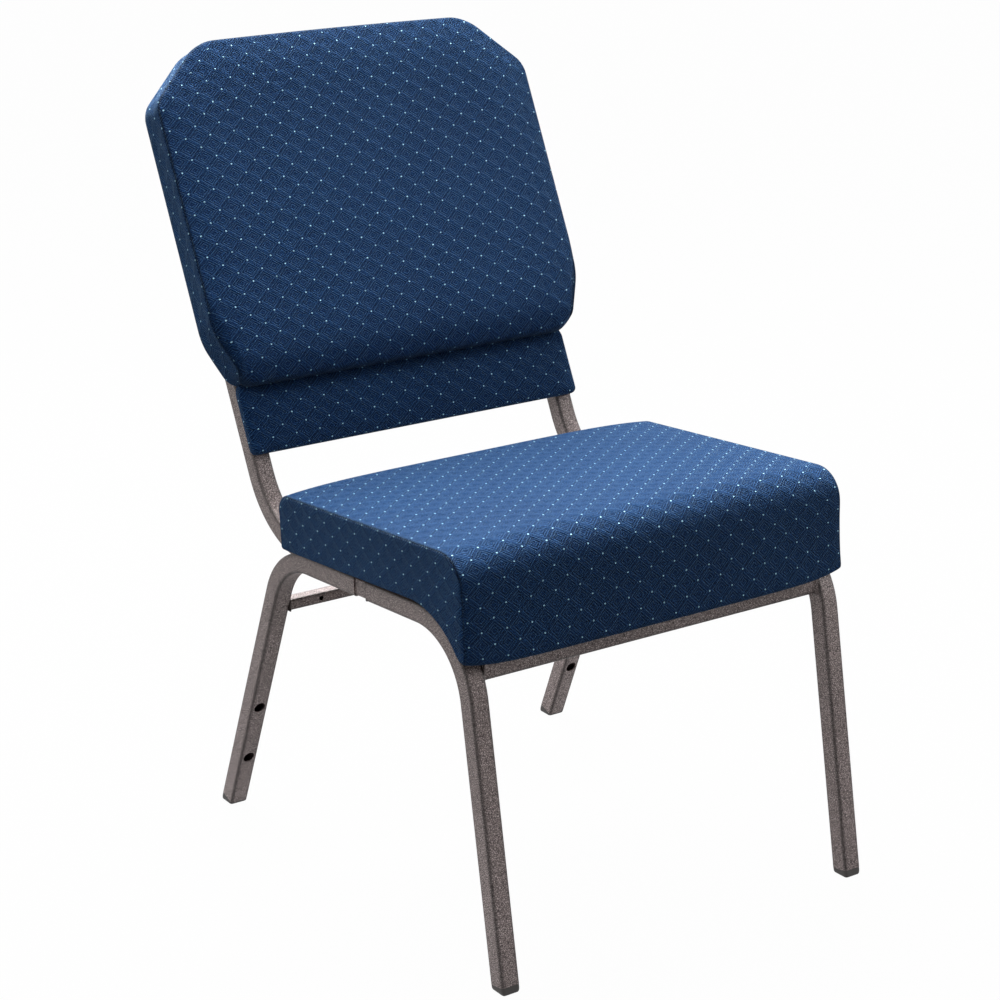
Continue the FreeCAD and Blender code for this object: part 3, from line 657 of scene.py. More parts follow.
def side_frames():
    """Front legs, rear legs with their accessory holes, and back uprights, as bent square tubes."""
    lean = direction(90 - BACK_LEAN)
    up = (REAR_CORNER - REAR_FOOT).normalized()
    facing = Vector((0, -up.z, up.y))
    divisions = [LEG_HOLE_PATCH * share for share in (-1, -0.5, 0, 0.5, 1)]
    for side, sign in SIDES.items():
        out = X_AXIS * (sign * FRAME_X)
        bm = bent_tube(FRONT_FOOT + out, FRONT_CORNER + out, rail_point(RAIL_FRONT_END) + out, LEG_BEND)
        finish_tube(f"front_leg_{side}", bm)

        stops = [height + step for height in LEG_HOLES[side] for step in divisions]
        end = rail_point(RAIL_REAR_END) + out
        bm = bent_tube(REAR_FOOT + out, REAR_CORNER + out, end, LEG_BEND, stops)
        for height in LEG_HOLES[side]:
            middle = REAR_FOOT + out + up * height + facing * (TUBE / 2)
            drill(bm, middle, facing, LEG_HOLE, LEG_HOLE_REACH)
        finish_tube(f"rear_leg_{side}", bm)

        out = X_AXIS * (sign * UPRIGHT_X)
        top = BACK_CORNER + out + lean * UPRIGHT_LENGTH
        bm = bent_tube(rail_point(UPRIGHT_START) + out, BACK_CORNER + out, top, UPRIGHT_BEND)
        finish_tube(f"back_upright_{side}", bm)


def inward_normals(chain):
    """Inward normals of a closed row of points in a plane, longer at its corners to keep an even inset."""
    count = len(chain)
    area = sum(p[0] * q[1] - q[0] * p[1] for p, q in zip(chain, chain[1:] + chain[:1]))
    side = math.copysign(1, area)
    normals = []
    for i in range(count):
        before, after = chain[i - 1], chain[(i + 1) % count]
        here = chain[i]
        first = Vector((here[0] - before[0], here[1] - before[1])).normalized()
        second = Vector((after[0] - here[0], after[1] - here[1])).normalized()
        bisector = (first + second).normalized()
        stretch = 1 / max(0.5, bisector.dot(second))
        normals.append(Vector((-bisector.y, bisector.x)) * side * stretch)
    return normals


def grid_between(bm, ring, first, second, count, straight=False):
    """Fills a closed row of vertices with a grid; two opposite sides start at these indices.

    Returns the grid's faces and its own new vertices. Straight rows run between the two sides only."""
    total = len(ring)
    before = set(bm.verts)
    edges = []
    for start in (first, second):
        for step in range(count):
            pair = (ring[(start + step) % total], ring[(start + step + 1) % total])
            edges.append(bm.edges.get(pair))
    faces = bmesh.ops.grid_fill(bm, edges=edges, use_interp_simple=straight)["faces"]
    return faces, [vert for vert in bm.verts if vert not in before]


def swell(piece, held, cap):
    """Inflates a sewn cover by cloth simulation between its held points, and caps how far a point moves."""
    group = piece.vertex_groups.new(name="held")
    group.add(held, 1.0, "REPLACE")
    cloth = piece.modifiers.new("cloth", "CLOTH")
    settings = cloth.settings
    settings.quality = 6
    settings.mass = 0.3
    settings.vertex_group_mass = "held"
    settings.use_pressure = True
    settings.uniform_pressure_force = SWELL_PRESSURE
    settings.effector_weights.gravity = 0
    settings.tension_stiffness = 25
    settings.compression_stiffness = 25
    settings.bending_stiffness = 2.0
    cloth.point_cache.frame_start = 1
    cloth.point_cache.frame_end = SWELL_FRAMES
    mesh = piece.data
    count = len(mesh.vertices)
    rest = np.empty(count * 3, np.float32)
    mesh.vertices.foreach_get("co", rest)
    for step in range(1, SWELL_FRAMES + 1):
        scene.frame_set(step)
    blown = np.empty(count * 3, np.float32)
    shown = piece.evaluated_get(bpy.context.evaluated_depsgraph_get())
    shown.data.vertices.foreach_get("co", blown)
    piece.modifiers.remove(cloth)
    piece.vertex_groups.remove(group)
    scene.frame_set(1)
    move = (blown - rest).reshape(-1, 3)
    length = np.linalg.norm(move, axis=1, keepdims=True)
    share = cap * np.tanh(length / cap) / np.maximum(length, 1e-9)
    moved = rest.reshape(-1, 3) + move * share
    mesh.vertices.foreach_set("co", moved.astype(np.float32).ravel())
    mesh.update()


def finish_cover(name, node, bm, placement, held=(), cap=THICK_SWELL):
    """Makes a sewn cover a piece, swollen by its filling between its held points, and smoothed."""
    bm.verts.index_update()
    indices = [vert.index for vert in held]
    piece = finish_piece(name, bm, placement, CLOTH, [node])
    if indices:
        swell(piece, indices, cap)
    smooth = piece.modifiers.new("smooth", "SUBSURF")
    smooth.levels = 1
    smooth.render_levels = 1
    for polygon in piece.data.polygons:
        polygon.use_smooth = True


def seat_profile(bm):
    """Side outline of the seat cover from the board's rear edge, over the top, to the lip at its front."""
    lip_z = -SEAT_BEND + SEAT_BEND * math.cos(LIP_TURN)
    lip = Vector((0, SEAT_FLAT - SEAT_BEND * math.sin(LIP_TURN), lip_z))
    corners = [(HEEL, 0.0), (SEAT_REAR, 0.0), (SEAT_REAR, SEAT_EDGE), (SEAT_FRONT, SEAT_EDGE)]
    corners += [(SEAT_FRONT, lip.z + LIP_RISE), (lip.y, lip.z)]
    verts = [bm.verts.new((-SEAT_HALF, y, z)) for y, z in corners]
    for pair in zip(verts, verts[1:]):
        bm.edges.new(pair)
    for vert, offset, steps in zip(verts[1:-1], SEAT_ROUNDS, SEAT_ROUND_STEPS):
        bmesh.ops.bevel(bm, geom=[vert], offset=offset, offset_type="OFFSET", affect="VERTICES",
            segments=steps, profile=0.5, material=-1)
    for edge in bm.edges[:]:
        length = edge.calc_length()
        if length > SEAT_TOP_OVER:
            bmesh.ops.subdivide_edges(bm, edges=[edge], cuts=SEAT_TOP_CUTS)
        elif length > SEAT_SIDE_OVER:
            bmesh.ops.subdivide_edges(bm, edges=[edge], cuts=SEAT_SIDE_CUTS)
    ends = [vert for vert in bm.verts if len(vert.link_edges) == 1]
    heel, end = sorted(ends, key=lambda vert: -vert.co.z)
    chain = [heel]
    while chain[-1] is not end:
        onward = [edge.other_vert(chain[-1]) for edge in chain[-1].link_edges]
        chain.append(next(vert for vert in onward if vert not in chain[-2:]))
    return chain


def seat_underside(bm, lip, heel):
    """Row of vertices from the lip back along the board's underside to the rear edge, on one side."""
    x = lip.co.x
    row = [lip]
    centre = Vector((x, SEAT_FLAT, -SEAT_BEND))
    turn = Matrix.Rotation(-LIP_TURN / LIP_STEPS, 3, "X")
    for step in range(LIP_STEPS):
        place = centre + turn @ (row[-1].co - centre)
        row.append(bm.verts.new(place))
        bm.edges.new(row[-2:])
    back = Vector((0, (heel.co.y - SEAT_FLAT) / UNDER_STEPS, 0))
    for step in range(UNDER_STEPS - 1):
        row.append(bm.verts.new(row[-1].co + back))
        bm.edges.new(row[-2:])
    bm.edges.new((row[-1], heel))
    return row + [heel]


def cover_mesh():
    """Empty mesh of a sewn cover, with its layers for painted shade along seams, creases and rolled edges,
    and for the cloth map.
    """
    bm = bmesh.new()
    bm.verts.layers.float.new("seam")
    bm.loops.layers.uv.new("cloth")
    return bm


def seat_cover():
    """Seat cover: one panel over the top and down the front, sewn along a groove to its side panels."""
    bm = cover_mesh()
    chain = seat_profile(bm)
    lengths = [0.0]
    for before, here in zip(chain, chain[1:]):
        lengths.append(lengths[-1] + (here.co - before.co).length)
    inner = SEAT_HALF - NEAR_SEAM[-1]
    stations = [step - SEAT_HALF for step in NEAR_SEAM]
    stations += [-inner + 2 * inner * step / SEAT_ACROSS for step in range(1, SEAT_ACROSS)]
    stations += [SEAT_HALF - step for step in reversed(NEAR_SEAM)]
    rows = [chain]
    for before, here in zip(stations, stations[1:]):
        rows.append(extrude_chain(bm, rows[-1], closed=False))
        bmesh.ops.translate(bm, vec=(here - before, 0, 0), verts=rows[-1])
    over = {}
    for station, row in zip(stations, rows):
        over.update((vert, (station, run)) for vert, run in zip(row, lengths))
    middle = (SEAT_REAR + SEAT_FRONT) / 2
    half_deep = (SEAT_REAR - SEAT_FRONT) / 2
    for vert, (x, run) in over.items():
        rise = 1 - abs(x / SEAT_HALF) ** 5
        height = max(0.0, min(1.0, vert.co.z / SEAT_EDGE))
        depth = (vert.co.y - middle) / half_deep
        vert.co.z += rise * height ** 1.5 * (SEAT_CROWN + SEAT_DEPTH_CROWN * (1 - depth ** 2))
        vert.co.y += rise * SEAT_BULGE * depth * min(1.0, max(0.0, (abs(depth) - 0.5) * 2))

    seam, held, side_faces = {}, set(), {}
    sides = {-1: rows[0], 1: rows[-1]}
    under = {}
    for sign, row in sides.items():
        under[sign] = seat_underside(bm, row[-1], row[0])
        loop = row + under[sign][1:-1]
        flat = [(vert.co.y, vert.co.z) for vert in loop]
        normals = inward_normals(flat)
        rings = [loop]
        before = set(bm.faces)
        for inset in SIDE_INSETS:
            rings.append(extrude_chain(bm, rings[-1]))
            for vert, place, normal in zip(rings[-1], flat, normals):
                vert.co.y = place[0] + normal.x * inset
                vert.co.z = place[1] + normal.y * inset
        front_start = SEAT_REAR_STEPS + SEAT_TOP_STEPS
        for vert in grid_between(bm, rings[-1], 0, front_start, SEAT_REAR_STEPS)[1]:
            vert.co.x = sign * SEAT_HALF
        for face in bm.faces:
            if face not in before:
                side_faces[face] = sign
        near = rows if sign < 0 else rows[::-1]
        for index, vert in enumerate(row):
            front = smooth_step(*FRONT_SEAM, lengths[index])
            above_lip = smooth_step(0, LIP_SLACK_REACH, lengths[-1] - lengths[index])
            deep = FRONT_PULL * front * (LIP_SLACK + (1 - LIP_SLACK) * above_lip)
            inward = Vector((0, normals[index].x, normals[index].y))
            pull = SEAM_PULL + deep
            vert.co += inward * (pull * SEAM_SINK)
            vert.co.x -= sign * pull
            # Painted shade along the seam groove, fainter on the rows beside it, and less of it along the
            # front
            seam[vert] = 1.0 - SEAM_FADE * front
            for beside in (near[1][index], rings[1][index]):
                seam[beside] = BESIDE_SHADE - BESIDE_FADE * front
            for row_beside, share in zip(near[1:], PULL_BESIDE):
                row_beside[index].co += inward * (deep * share)
            for ring, share in zip(rings[1:], PULL_BESIDE):
                ring[index].co.x -= sign * deep * share
        held.update(rings[0] + rings[1])

    rear_row = [row[0] for row in rows]
    front_row = [row[-1] for row in rows]
    rim = rear_row + under[1][-2:0:-1] + front_row[::-1] + under[-1][1:-1]
    pocket = extrude_chain(bm, rim)
    for vert in pocket:
        vert.co.x = max(-SEAT_BOARD_HALF, min(SEAT_BOARD_HALF, vert.co.x))
    for row in rows:
        for vert, run in zip(row, lengths):
            to_lip = lengths[-1] - run
            slack = smooth_step(*HANG_REACH, to_lip) * (1 - abs(over[vert][0] / SEAT_HALF) ** 8)
            vert.co.z -= SEAT_HANG * slack
            vert.co.y -= HANG_BELLY * slack * smooth_step(*BELLY_REACH, to_lip)
    ceiling = extrude_chain(bm, pocket)
    for vert in ceiling:
        normal = Z_AXIS
        if vert.co.y < SEAT_FLAT:
            normal = Vector((0, vert.co.y - SEAT_FLAT, vert.co.z + SEAT_BEND)).normalized()
        vert.co += normal * SEAT_BOARD
    across = len(rows) - 1
    down = len(under[1]) - 1
    hidden = grid_between(bm, ceiling, across, 2 * across + down, down, straight=True)[1]
    held.update(rim + pocket + ceiling + hidden)
    held.update(vert for row in rows for vert in (row[1], row[-2]))
    held.update(rows[1] + rows[-2])
    bmesh.ops.recalc_face_normals(bm, faces=bm.faces)
    return bm, seam, held, over, side_faces


def lay_cloth(bm, place_of):
    """Lays the cloth map over every face corner, in metres, by a function of the face and vertex."""
    cloth = bm.loops.layers.uv["cloth"]
    for face in bm.faces:
        for loop in face.loops:
            u, v = place_of(face, loop.vert)
            loop[cloth].uv = (u * MM, v * MM)


def build_seat():
    """Seat cover with its cloth map and painted shade along its seams, swollen by its filling."""
    bm, seam, held, over, side_faces = seat_cover()
    for vert, value in seam.items():
        vert[bm.verts.layers.float["seam"]] = value

    def place_of(face, vert):
        if face in side_faces:
            return vert.co.y, vert.co.z
        if vert in over:
            return over[vert][0], -over[vert][1]
        return vert.co.x, vert.co.y

    lay_cloth(bm, place_of)
    finish_cover("seat_cover", "seat_cushion", bm, SEAT_AT, held)


def pad_outline(bm, corners, rounds, arc_steps, side_steps):
    """Rounded outline in the plane Y = 0 as an ordered closed row of vertices."""
    places = [Vector(corner) for corner in corners]
    after = places[1:] + places[:1]
    verts = [bm.verts.new((place.x, 0, place.y)) for place in places]
    bm.faces.new(verts)
    for index, vert in enumerate(verts):
        back = (places[index - 1] - places[index]).normalized()
        ahead = (after[index] - places[index]).normalized()
        offset = rounds[index] / math.tan(back.angle(ahead) / 2)
        bmesh.ops.bevel(bm, geom=[vert], offset=offset, offset_type="OFFSET", affect="VERTICES",
            segments=arc_steps[index], profile=0.5, material=-1)
    for here, there, steps in zip(places, after, side_steps):
        along = (there - here).normalized()
        for edge in bm.edges[:]:
            ends = [Vector((vert.co.x, vert.co.z)) - here for vert in edge.verts]
            off_line = max(abs(end.x * along.y - end.y * along.x) for end in ends)
            inside = all(-0.01 <= end.dot(along) <= (there - here).length + 0.01 for end in ends)
            if off_line < 0.01 and inside:
                bmesh.ops.subdivide_edges(bm, edges=[edge], cuts=steps - 1)
                break
    face = bm.faces[:][0]
    ring = [loop.vert for loop in face.loops]
    bmesh.ops.delete(bm, geom=[face], context="FACES_ONLY")
    return ring


def distance_to(places, outline):
    """Distance of each place in the plane to the nearest stretch of a closed outline, and its index."""
    start = np.array(outline)
    step = np.roll(start, -1, axis=0) - start
    square = (step ** 2).sum(1)
    found = []
    for place in places:
        gap = np.array(place) - start
        share = np.clip((gap * step).sum(1) / square, 0, 1)
        off = ((gap - step * share[:, None]) ** 2).sum(1)
        found.append((math.sqrt(off.min()), int(off.argmin())))
    return found


def boxed_pad(bm, outline, ring, front_rows, rear_rows):
    """Rows of cover on an outline, from its edge to the front panel and from its edge back over the band.

    Each row gives the depth towards the sitter and the inset of every point of the outline."""
    normals = inward_normals(outline)

    def put(row, places):
        for vert, (x, z), normal, (deep, inset) in zip(row, outline, normals, places):
            vert.co = (x + normal.x * inset, -deep, z + normal.y * inset)

    put(ring, front_rows[0])
    fronts = [ring]
    for places in front_rows[1:]:
        fronts.append(extrude_chain(bm, fronts[-1]))
        put(fronts[-1], places)
    rears = [ring]
    for places in rear_rows:
        rears.append(extrude_chain(bm, rears[-1]))
        put(rears[-1], places)
    return fronts, rears


def quarter_indices(ring, places):
    """Indices of the vertices nearest to some places in the plane."""
    def nearest(x, z):
        return min(range(len(ring)), key=lambda i: (ring[i].co.x - x) ** 2 + (ring[i].co.z - z) ** 2)

    return [nearest(x, z) for x, z in places]


def fill_panel(bm, row, quarters):
    """Grid over a closed row between two of its opposite sides, and the grid's own new vertices."""
    count = (quarters[1] - quarters[0]) % len(row)
    return grid_between(bm, row, quarters[0], quarters[2], count)


def crown_panel(inner, outline, deep, height, ease, rolls=None):
    """Crowns a panel's inner vertices by their distance from its outline, and rolls its soft edges off."""
    places = [(vert.co.x, vert.co.z) for vert in inner]
    for vert, (gap, index) in zip(inner, distance_to(places, outline)):
        share = max(0.0, 1 - gap / ease)
        vert.co.y = -(deep + height * (1 - share ** 4))
        if rolls and gap < PAD_ROLL + PAD_LIFT:
            inside = max(0.0, gap - PAD_LIFT)
            vert.co.y += rolls[index] * (PAD_ROLL - math.sqrt(PAD_ROLL ** 2 - (PAD_ROLL - inside) ** 2))


def perimeter_runs(ring):
    runs = [0.0]
    for before, here in zip(ring, ring[1:]):
        runs.append(runs[-1] + (here.co - before.co).length)
    return runs, runs[-1] + (ring[0].co - ring[-1].co).length


def band_cloth(runs, around, flat_faces, slack, depths):
    """Cloth map of a boxed pad: flat over its panels, and along the edge and across it on the band.

    Slack gives the places of the panel's outermost row with the cloth pulled flat, and depths the band's."""
    turn = Matrix.Rotation(math.radians(-CLOTH_TURN), 2)

    def place_of(face, vert):
        if face in flat_faces or vert not in runs:
            return turn @ Vector(slack.get(vert, (vert.co.x, vert.co.z)))
        spots = [runs[v] for v in face.verts if v in runs]
        here = runs[vert]
        if max(spots) - min(spots) > around / 2 and here < around / 2:
            here += around
        return here, depths.get(vert, vert.co.y)
    return place_of


def over_lumbar(place):
    """Whether a place on a pad's edge is in front of or just above the lumbar pad."""
    return place.z < LOW_EDGE_TOP and abs(place.x) < LOW_EDGE_HALF


def close_pad(bm, outline, quarters, front, rear, crown, smoothing):
    """Closes a pad with a crowned front panel, and behind with a pocket round the edge of its board.

    Returns the panel's faces, the rows of the pocket's edge, and the vertices of its floor."""
    outs = extrude_chain(bm, rear)
    for vert, (x, z), normal in zip(outs, outline, inward_normals(outline)):
        vert.co = (x + normal.x * BOARD_MARGIN, 0, z + normal.y * BOARD_MARGIN)
        vert.co.y = LUMBAR_GAP if over_lumbar(vert.co) else BOARD_GAP
    deeps = extrude_chain(bm, outs)
    for vert in deeps:
        vert.co.y = -BOARD_DEEP
    panel, inner = fill_panel(bm, front, quarters)
    crown_panel(inner, outline, *crown)
    for step in range(smoothing):
        bmesh.ops.smooth_vert(bm, verts=inner, factor=0.5, use_axis_y=True)
    hidden = fill_panel(bm, deeps, quarters)[1]
    for vert in hidden:
        vert.co.y = -BOARD_DEEP
    bmesh.ops.recalc_face_normals(bm, faces=bm.faces)
    return panel, [outs, deeps], hidden


def build_back():
    """Main back pad: crowned front panel, boxed band drawn in between its seams, and a turned edge behind."""
    bm = cover_mesh()
    ring = pad_outline(bm, PAD_CORNERS, PAD_ROUNDS, PAD_ARC_STEPS, PAD_SIDE_STEPS)
    for vert in ring:
        if vert.co.z > PAD_BOW_FROM:
            vert.co.z += PAD_BOW * max(0.0, 1 - (vert.co.x / PAD_BOW_HALF) ** 2)
    outline = [(vert.co.x, vert.co.z) for vert in ring]
    quarters = quarter_indices(ring, PAD_QUARTERS)

    rolls = [1 - smooth_step(*ROLL_FADE, z) for x, z in outline]
    creases = [smooth_step(*CREASE_START, z) * (1 - smooth_step(*CREASE_END, z)) for x, z in outline]
    front_rows = []
    for edge, valley, rolled in zip(PAD_EDGE, PAD_VALLEY, PAD_ROLLED):
        row = []
        for roll, crease in zip(rolls, creases):
            sewn = Vector(edge).lerp(Vector(valley), crease)
            row.append(sewn.lerp(Vector(rolled), roll))
        front_rows.append(row)
    rear_rows = [[(deep * (1 - BAND_ROLL * roll), inset) for roll in rolls] for deep, inset in PAD_BAND]
    fronts, rears = boxed_pad(bm, outline, ring, front_rows, rear_rows)
    for row in rears:
        for vert in row:
            slim = SLIM * max(0.0, min(1.0, 1 + vert.co.y / PAD_DEEP))
            gap = Vector((vert.co.x - math.copysign(PAD_HALF, vert.co.x), vert.co.z - PAD_LOW))
            near = max(0.0, 1 - abs(gap.x) / SLIM_ACROSS) * max(0.0, 1 - abs(gap.y) / SLIM_UP)
            vert.co.x -= gap.x * slim * near
            vert.co.z -= gap.y * slim * near
            if over_lumbar(vert.co):
                vert.co.y = min(vert.co.y, LUMBAR_GAP)
    turned = extrude_chain(bm, rears[-1])
    for vert in turned:
        if over_lumbar(vert.co):
            vert.co.z += LOW_TURN
        else:
            top = PANEL_TURN_TOP if abs(vert.co.x) < PANEL_TURN_HALF else TURN_TOP
            vert.co.x = max(-TURN_HALF, min(TURN_HALF, vert.co.x))
            vert.co.z = min(top, vert.co.z)
    tucked = extrude_chain(bm, turned)
    for vert in tucked:
        vert.co.y = min(vert.co.y, LUMBAR_GAP) if over_lumbar(vert.co) else BOARD_GAP
    crown = (PAD_DEEP, PAD_CROWN, PAD_EASE, rolls)
    panel, pocket, hidden = close_pad(bm, outline, quarters, fronts[-1], tucked, crown, PAD_SMOOTHING)

    # Painted shade along the seam, fading where the creases hide it, and painted shade in the creases and
    # under the rolled bottom edge, also on the band's first row
    shade = bm.verts.layers.float["seam"]
    for row, (sewn, painted_hollow_shade) in zip(fronts, ROW_SHADES):
        for vert, roll, crease in zip(row, rolls, creases):
            seam = SEAM_SHADE * (1 - roll) * (1 - SEAM_HIDDEN * crease)
            vert[shade] = max(seam * sewn, painted_hollow_shade * max(roll, CREASE_SHADE * crease))
    for vert, roll in zip(rears[1], rolls):
        vert[shade] = ROLL_SHADE * roll
    return bm, ring, fronts, rears, [turned, tucked] + pocket, panel, hidden


def finish_back():
    """Cloth map of the main back pad, and its filling."""
    bm, ring, fronts, rears, closing, panel, hidden = build_back()
    lengths, around = perimeter_runs(ring)
    runs = {}
    for row in fronts + rears:
        runs.update(zip(row, lengths))
    flat = set(panel)
    for row in (fronts[3], fronts[2]):
        flat.update(face for vert in row for face in vert.link_faces)
    flat.difference_update(face for vert in rears[1] for face in vert.link_faces)
    flat -= {face for vert in ring for face in vert.link_faces}
    for row in closing:
        flat.update(face for vert in row for face in vert.link_faces)
    slack, depths = {}, {}
    for edge, seam, front in zip(fronts[0], fronts[1], fronts[2]):
        step = (front.co - seam.co).length
        inward = Vector((front.co.x - edge.co.x, front.co.z - edge.co.z)).normalized()
        slack[seam] = Vector((front.co.x, front.co.z)) - inward * step
        depths[seam] = edge.co.y - (seam.co - edge.co).length
    for before, row in zip(rears, rears[1:]):
        for start, vert in zip(before, row):
            depths[vert] = depths.get(start, start.co.y) + (vert.co - start.co).length
    lay_cloth(bm, band_cloth(runs, around, flat, slack, depths))
    held = set(fronts[0] + fronts[1] + fronts[2] + hidden)
    for row in rears[-3:] + closing:
        held.update(row)
    finish_cover("back_cover", "back_pad", bm, BACK_AT, held)


def rectangle_pad(size, front, rear):
    """Boxed pad on a rounded rectangle, with the same rows of depth and inset all round."""
    half, low, top, corner, grid = size
    bm = cover_mesh()
    corners = ((half, low), (half, top), (-half, top), (-half, low))
    tall = max(4, round((top - low - 2 * corner) / grid))
    wide = max(4, round((2 * half - 2 * corner) / grid))
    arcs = (PANEL_ARC_STEPS,) * 4
    ring = pad_outline(bm, corners, (corner,) * 4, arcs, (tall, wide, tall, wide))
    outline = [(vert.co.x, vert.co.z) for vert in ring]
    quarters = quarter_indices(ring, ((-half, low), (half, low), (half, top), (-half, top)))
    front_rows, rear_rows = [[[row] * len(outline) for row in rows] for rows in (front, rear)]
    return bm, outline, quarters, *boxed_pad(bm, outline, ring, front_rows, rear_rows)


def build_lumbar():
    """Thin lumbar pad with softly rounded wrapped edges."""
    pad = rectangle_pad(LUMBAR_OUTLINE, LUMBAR_FRONT, LUMBAR_REAR)
    bm, outline, quarters, fronts, rears = pad
    for row in rears + fronts[1:2]:
        for vert in row:
            vert.co.z += LUMBAR_TUCK * smooth_step(*LUMBAR_TUCK_FADE, vert.co.z)
    closing = (fronts[-1], rears[-1], LUMBAR_CROWN, LUMBAR_SMOOTHING)
    pocket, hidden = close_pad(bm, outline, quarters, *closing)[1:]

    def place_of(face, vert):
        across, up = vert.co.x, vert.co.z - LUMBAR_CLOTH_SHIFT
        if abs(face.normal.x) > EDGE_SLOPE:
            across -= vert.co.y * math.copysign(1, vert.co.x)
        if abs(face.normal.z) > EDGE_SLOPE:
            up += vert.co.y
        return across, up

    lay_cloth(bm, place_of)
    held = set(fronts[0] + hidden)
    for row in rears + pocket:
        held.update(row)
    finish_cover("lumbar_cover", "lumbar_pad", bm, BACK_AT, held, THIN_SWELL)


def build_rear_panel():
    """Upholstered rear panel between the uprights, with a tucked edge."""
    pad = rectangle_pad(PANEL_OUTLINE, PANEL_FRONT, PANEL_REAR)
    bm, outline, quarters, fronts, rears = pad
    crown_panel(fill_panel(bm, fronts[-1], quarters)[1], outline, *PANEL_CROWN)
    for vert in fill_panel(bm, rears[-1], quarters)[1]:
        vert.co.y = PANEL_BACK
    bmesh.ops.recalc_face_normals(bm, faces=bm.faces)
    lay_cloth(bm, lambda face, vert: (vert.co.x, vert.co.z))
    finish_cover("rear_panel_cover", "back_panel", bm, BACK_AT)


def straight_tube(start, length, width, height, corner, stops=()):
    """Straight tube along X with its skin divided at some distances from its start."""
    bm = tube_mesh()
    ring = tube_ring(bm, start, Y_AXIS, Z_AXIS, width, height, corner)
    sweep_run(bm, ring, X_AXIS, [*stops, length])
    bmesh.ops.recalc_face_normals(bm, faces=bm.faces)
    return bm


def cross_rails():
    """Front cross rail, and the small rear cross rail with its two front holes."""
    low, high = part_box("front_cross_rail")
    start = Vector((-INNER_X, (low.y + high.y) / 2 / MM, FRONT_RAIL_HIGH))
    finish_tube("front_cross_rail", straight_tube(start, 2 * INNER_X, TUBE, TUBE, TUBE_CORNER))

    middles = (RAIL_HOLE_INSET, 2 * INNER_X - RAIL_HOLE_INSET)
    stops = [middle + step for middle in middles for step in (-RAIL_HOLE_PATCH, 0, RAIL_HOLE_PATCH)]
    start = REAR_RAIL_AT - X_AXIS * INNER_X
    bm = straight_tube(start, 2 * INNER_X, REAR_RAIL_DEEP, REAR_RAIL_TALL, REAR_RAIL_CORNER, stops)
    facing = Vector((0, -1, 0))
    for middle in middles:
        front = start + X_AXIS * middle + facing * (REAR_RAIL_DEEP / 2)
        drill(bm, front, facing, RAIL_HOLE, RAIL_HOLE_REACH)
    finish_tube("rear_cross_rail", bm, REAR_RAIL_WALL)


def weld_bead(name, foot, along, across, size, weld):
    """Rough weld round the end of a tube: a skirt from its skin out to the face that it is welded to."""
    width, height = size
    rise, reach, dark = weld
    bm = tube_mesh()
    shade = bm.verts.layers.float["corner"]
    up = along.cross(across)
    ring = tube_ring(bm, foot + along * reach, across, up, width, height, WELD_CORNER)
    row = ring
    for share, out in WELD_ROWS:
        row = extrude_chain(bm, row)
        for vert, start in zip(row, ring):
            spoke = start.co - foot - along * reach
            level = max(abs(spoke.dot(across)) * 2 / width, abs(spoke.dot(up)) * 2 / height)
            spread = 1 + 2 * rise * out / (level * min(width, height))
            vert.co = foot + along * (reach * share) + spoke * spread
    long_edges = [edge for edge in bm.edges if edge.calc_length() > WELD_GRID]
    bmesh.ops.subdivide_edges(bm, edges=long_edges, cuts=WELD_CUTS)
    bmesh.ops.recalc_face_normals(bm, faces=bm.faces)
    for vert in bm.verts:
        swing = noise.noise(vert.co * WELD_RIPPLE)
        vert.co += vert.normal * (WELD_ROUGH * swing)
        # Darkness of the bead with a mottle: the weld's own colour, plus painted shade at the rail joints'
        # step
        vert[shade] = dark + WELD_MOTTLE * swing
    for face in bm.faces:
        face.smooth = True
    finish_piece(name, bm, CHAIR_AT, COAT)


def weld_the_frame():
    """Beads at both ends of the cross rails and at the front of each rail joint."""
    rails = {"front": ((TUBE, TUBE), FRONT_WELD), "rear": ((REAR_RAIL_DEEP, REAR_RAIL_TALL), REAR_WELD)}
    inner = TUBE - 2 * TUBE_WALL - FIT
    for side, sign in SIDES.items():
        for rail, (size, weld) in rails.items():
            low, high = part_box(f"{rail}_cross_rail")
            foot = (low + high) / (2 * MM)
            foot.x = sign * INNER_X
            weld_bead(f"{rail}_rail_weld_{side}", foot, X_AXIS * -sign, Y_AXIS, size, weld)
        foot = rail_point(RAIL_FRONT_END) + X_AXIS * (sign * FRAME_X)
        along = direction(RAIL_SLOPE)
        weld_bead(f"rail_joint_weld_{side}", foot, along, X_AXIS, (inner, inner), JOINT_WELD)


def foot_glides():
    """Rounded plastic glides in the leg ends, flat on the floor."""
    feet = {"front": (FRONT_FOOT, FRONT_CORNER), "rear": (REAR_FOOT, REAR_CORNER)}
    for side, sign in SIDES.items():
        for end, (foot, corner) in feet.items():
            up = (corner - foot).normalized()
            middle = foot + X_AXIS * (sign * FRAME_X)
            bm = tube_mesh()
            ring = tube_ring(bm, middle, X_AXIS, up.cross(X_AXIS), TUBE - FIT, TUBE - FIT)
            top = ring
            for drop, size in GLIDE_ROWS:
                row = extrude_chain(bm, top)
                for vert, start in zip(row, ring):
                    centre = middle - up * (middle.z * drop / up.z)
                    vert.co = centre + (start.co - up * (start.co.z * drop / up.z) - centre) * size
                top = row
            bmesh.ops.contextual_create(bm, geom=top)
            bmesh.ops.contextual_create(bm, geom=ring)
            bmesh.ops.recalc_face_normals(bm, faces=bm.faces)
            crisp(bm, 50.0)
            node = f"{end}_glide_{side}"
            finish_piece(f"{end}_glide_cap_{side}", bm, CHAIR_AT, PLASTIC, [node])


def dress_frame_nodes():
    """Materials of the solids that stay as they are."""
    finishes = {"rail_sleeve": COAT, "seat_tabs": COAT, "upright_plug": PLASTIC,
        "spacers": PLASTIC, "screws": ZINC, "tee_nuts": ZINC, "_board": PLYWOOD}
    for name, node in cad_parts.items():
        for part, material in finishes.items():
            if part in name:
                node.data.materials.clear()
                node.data.materials.append(material)


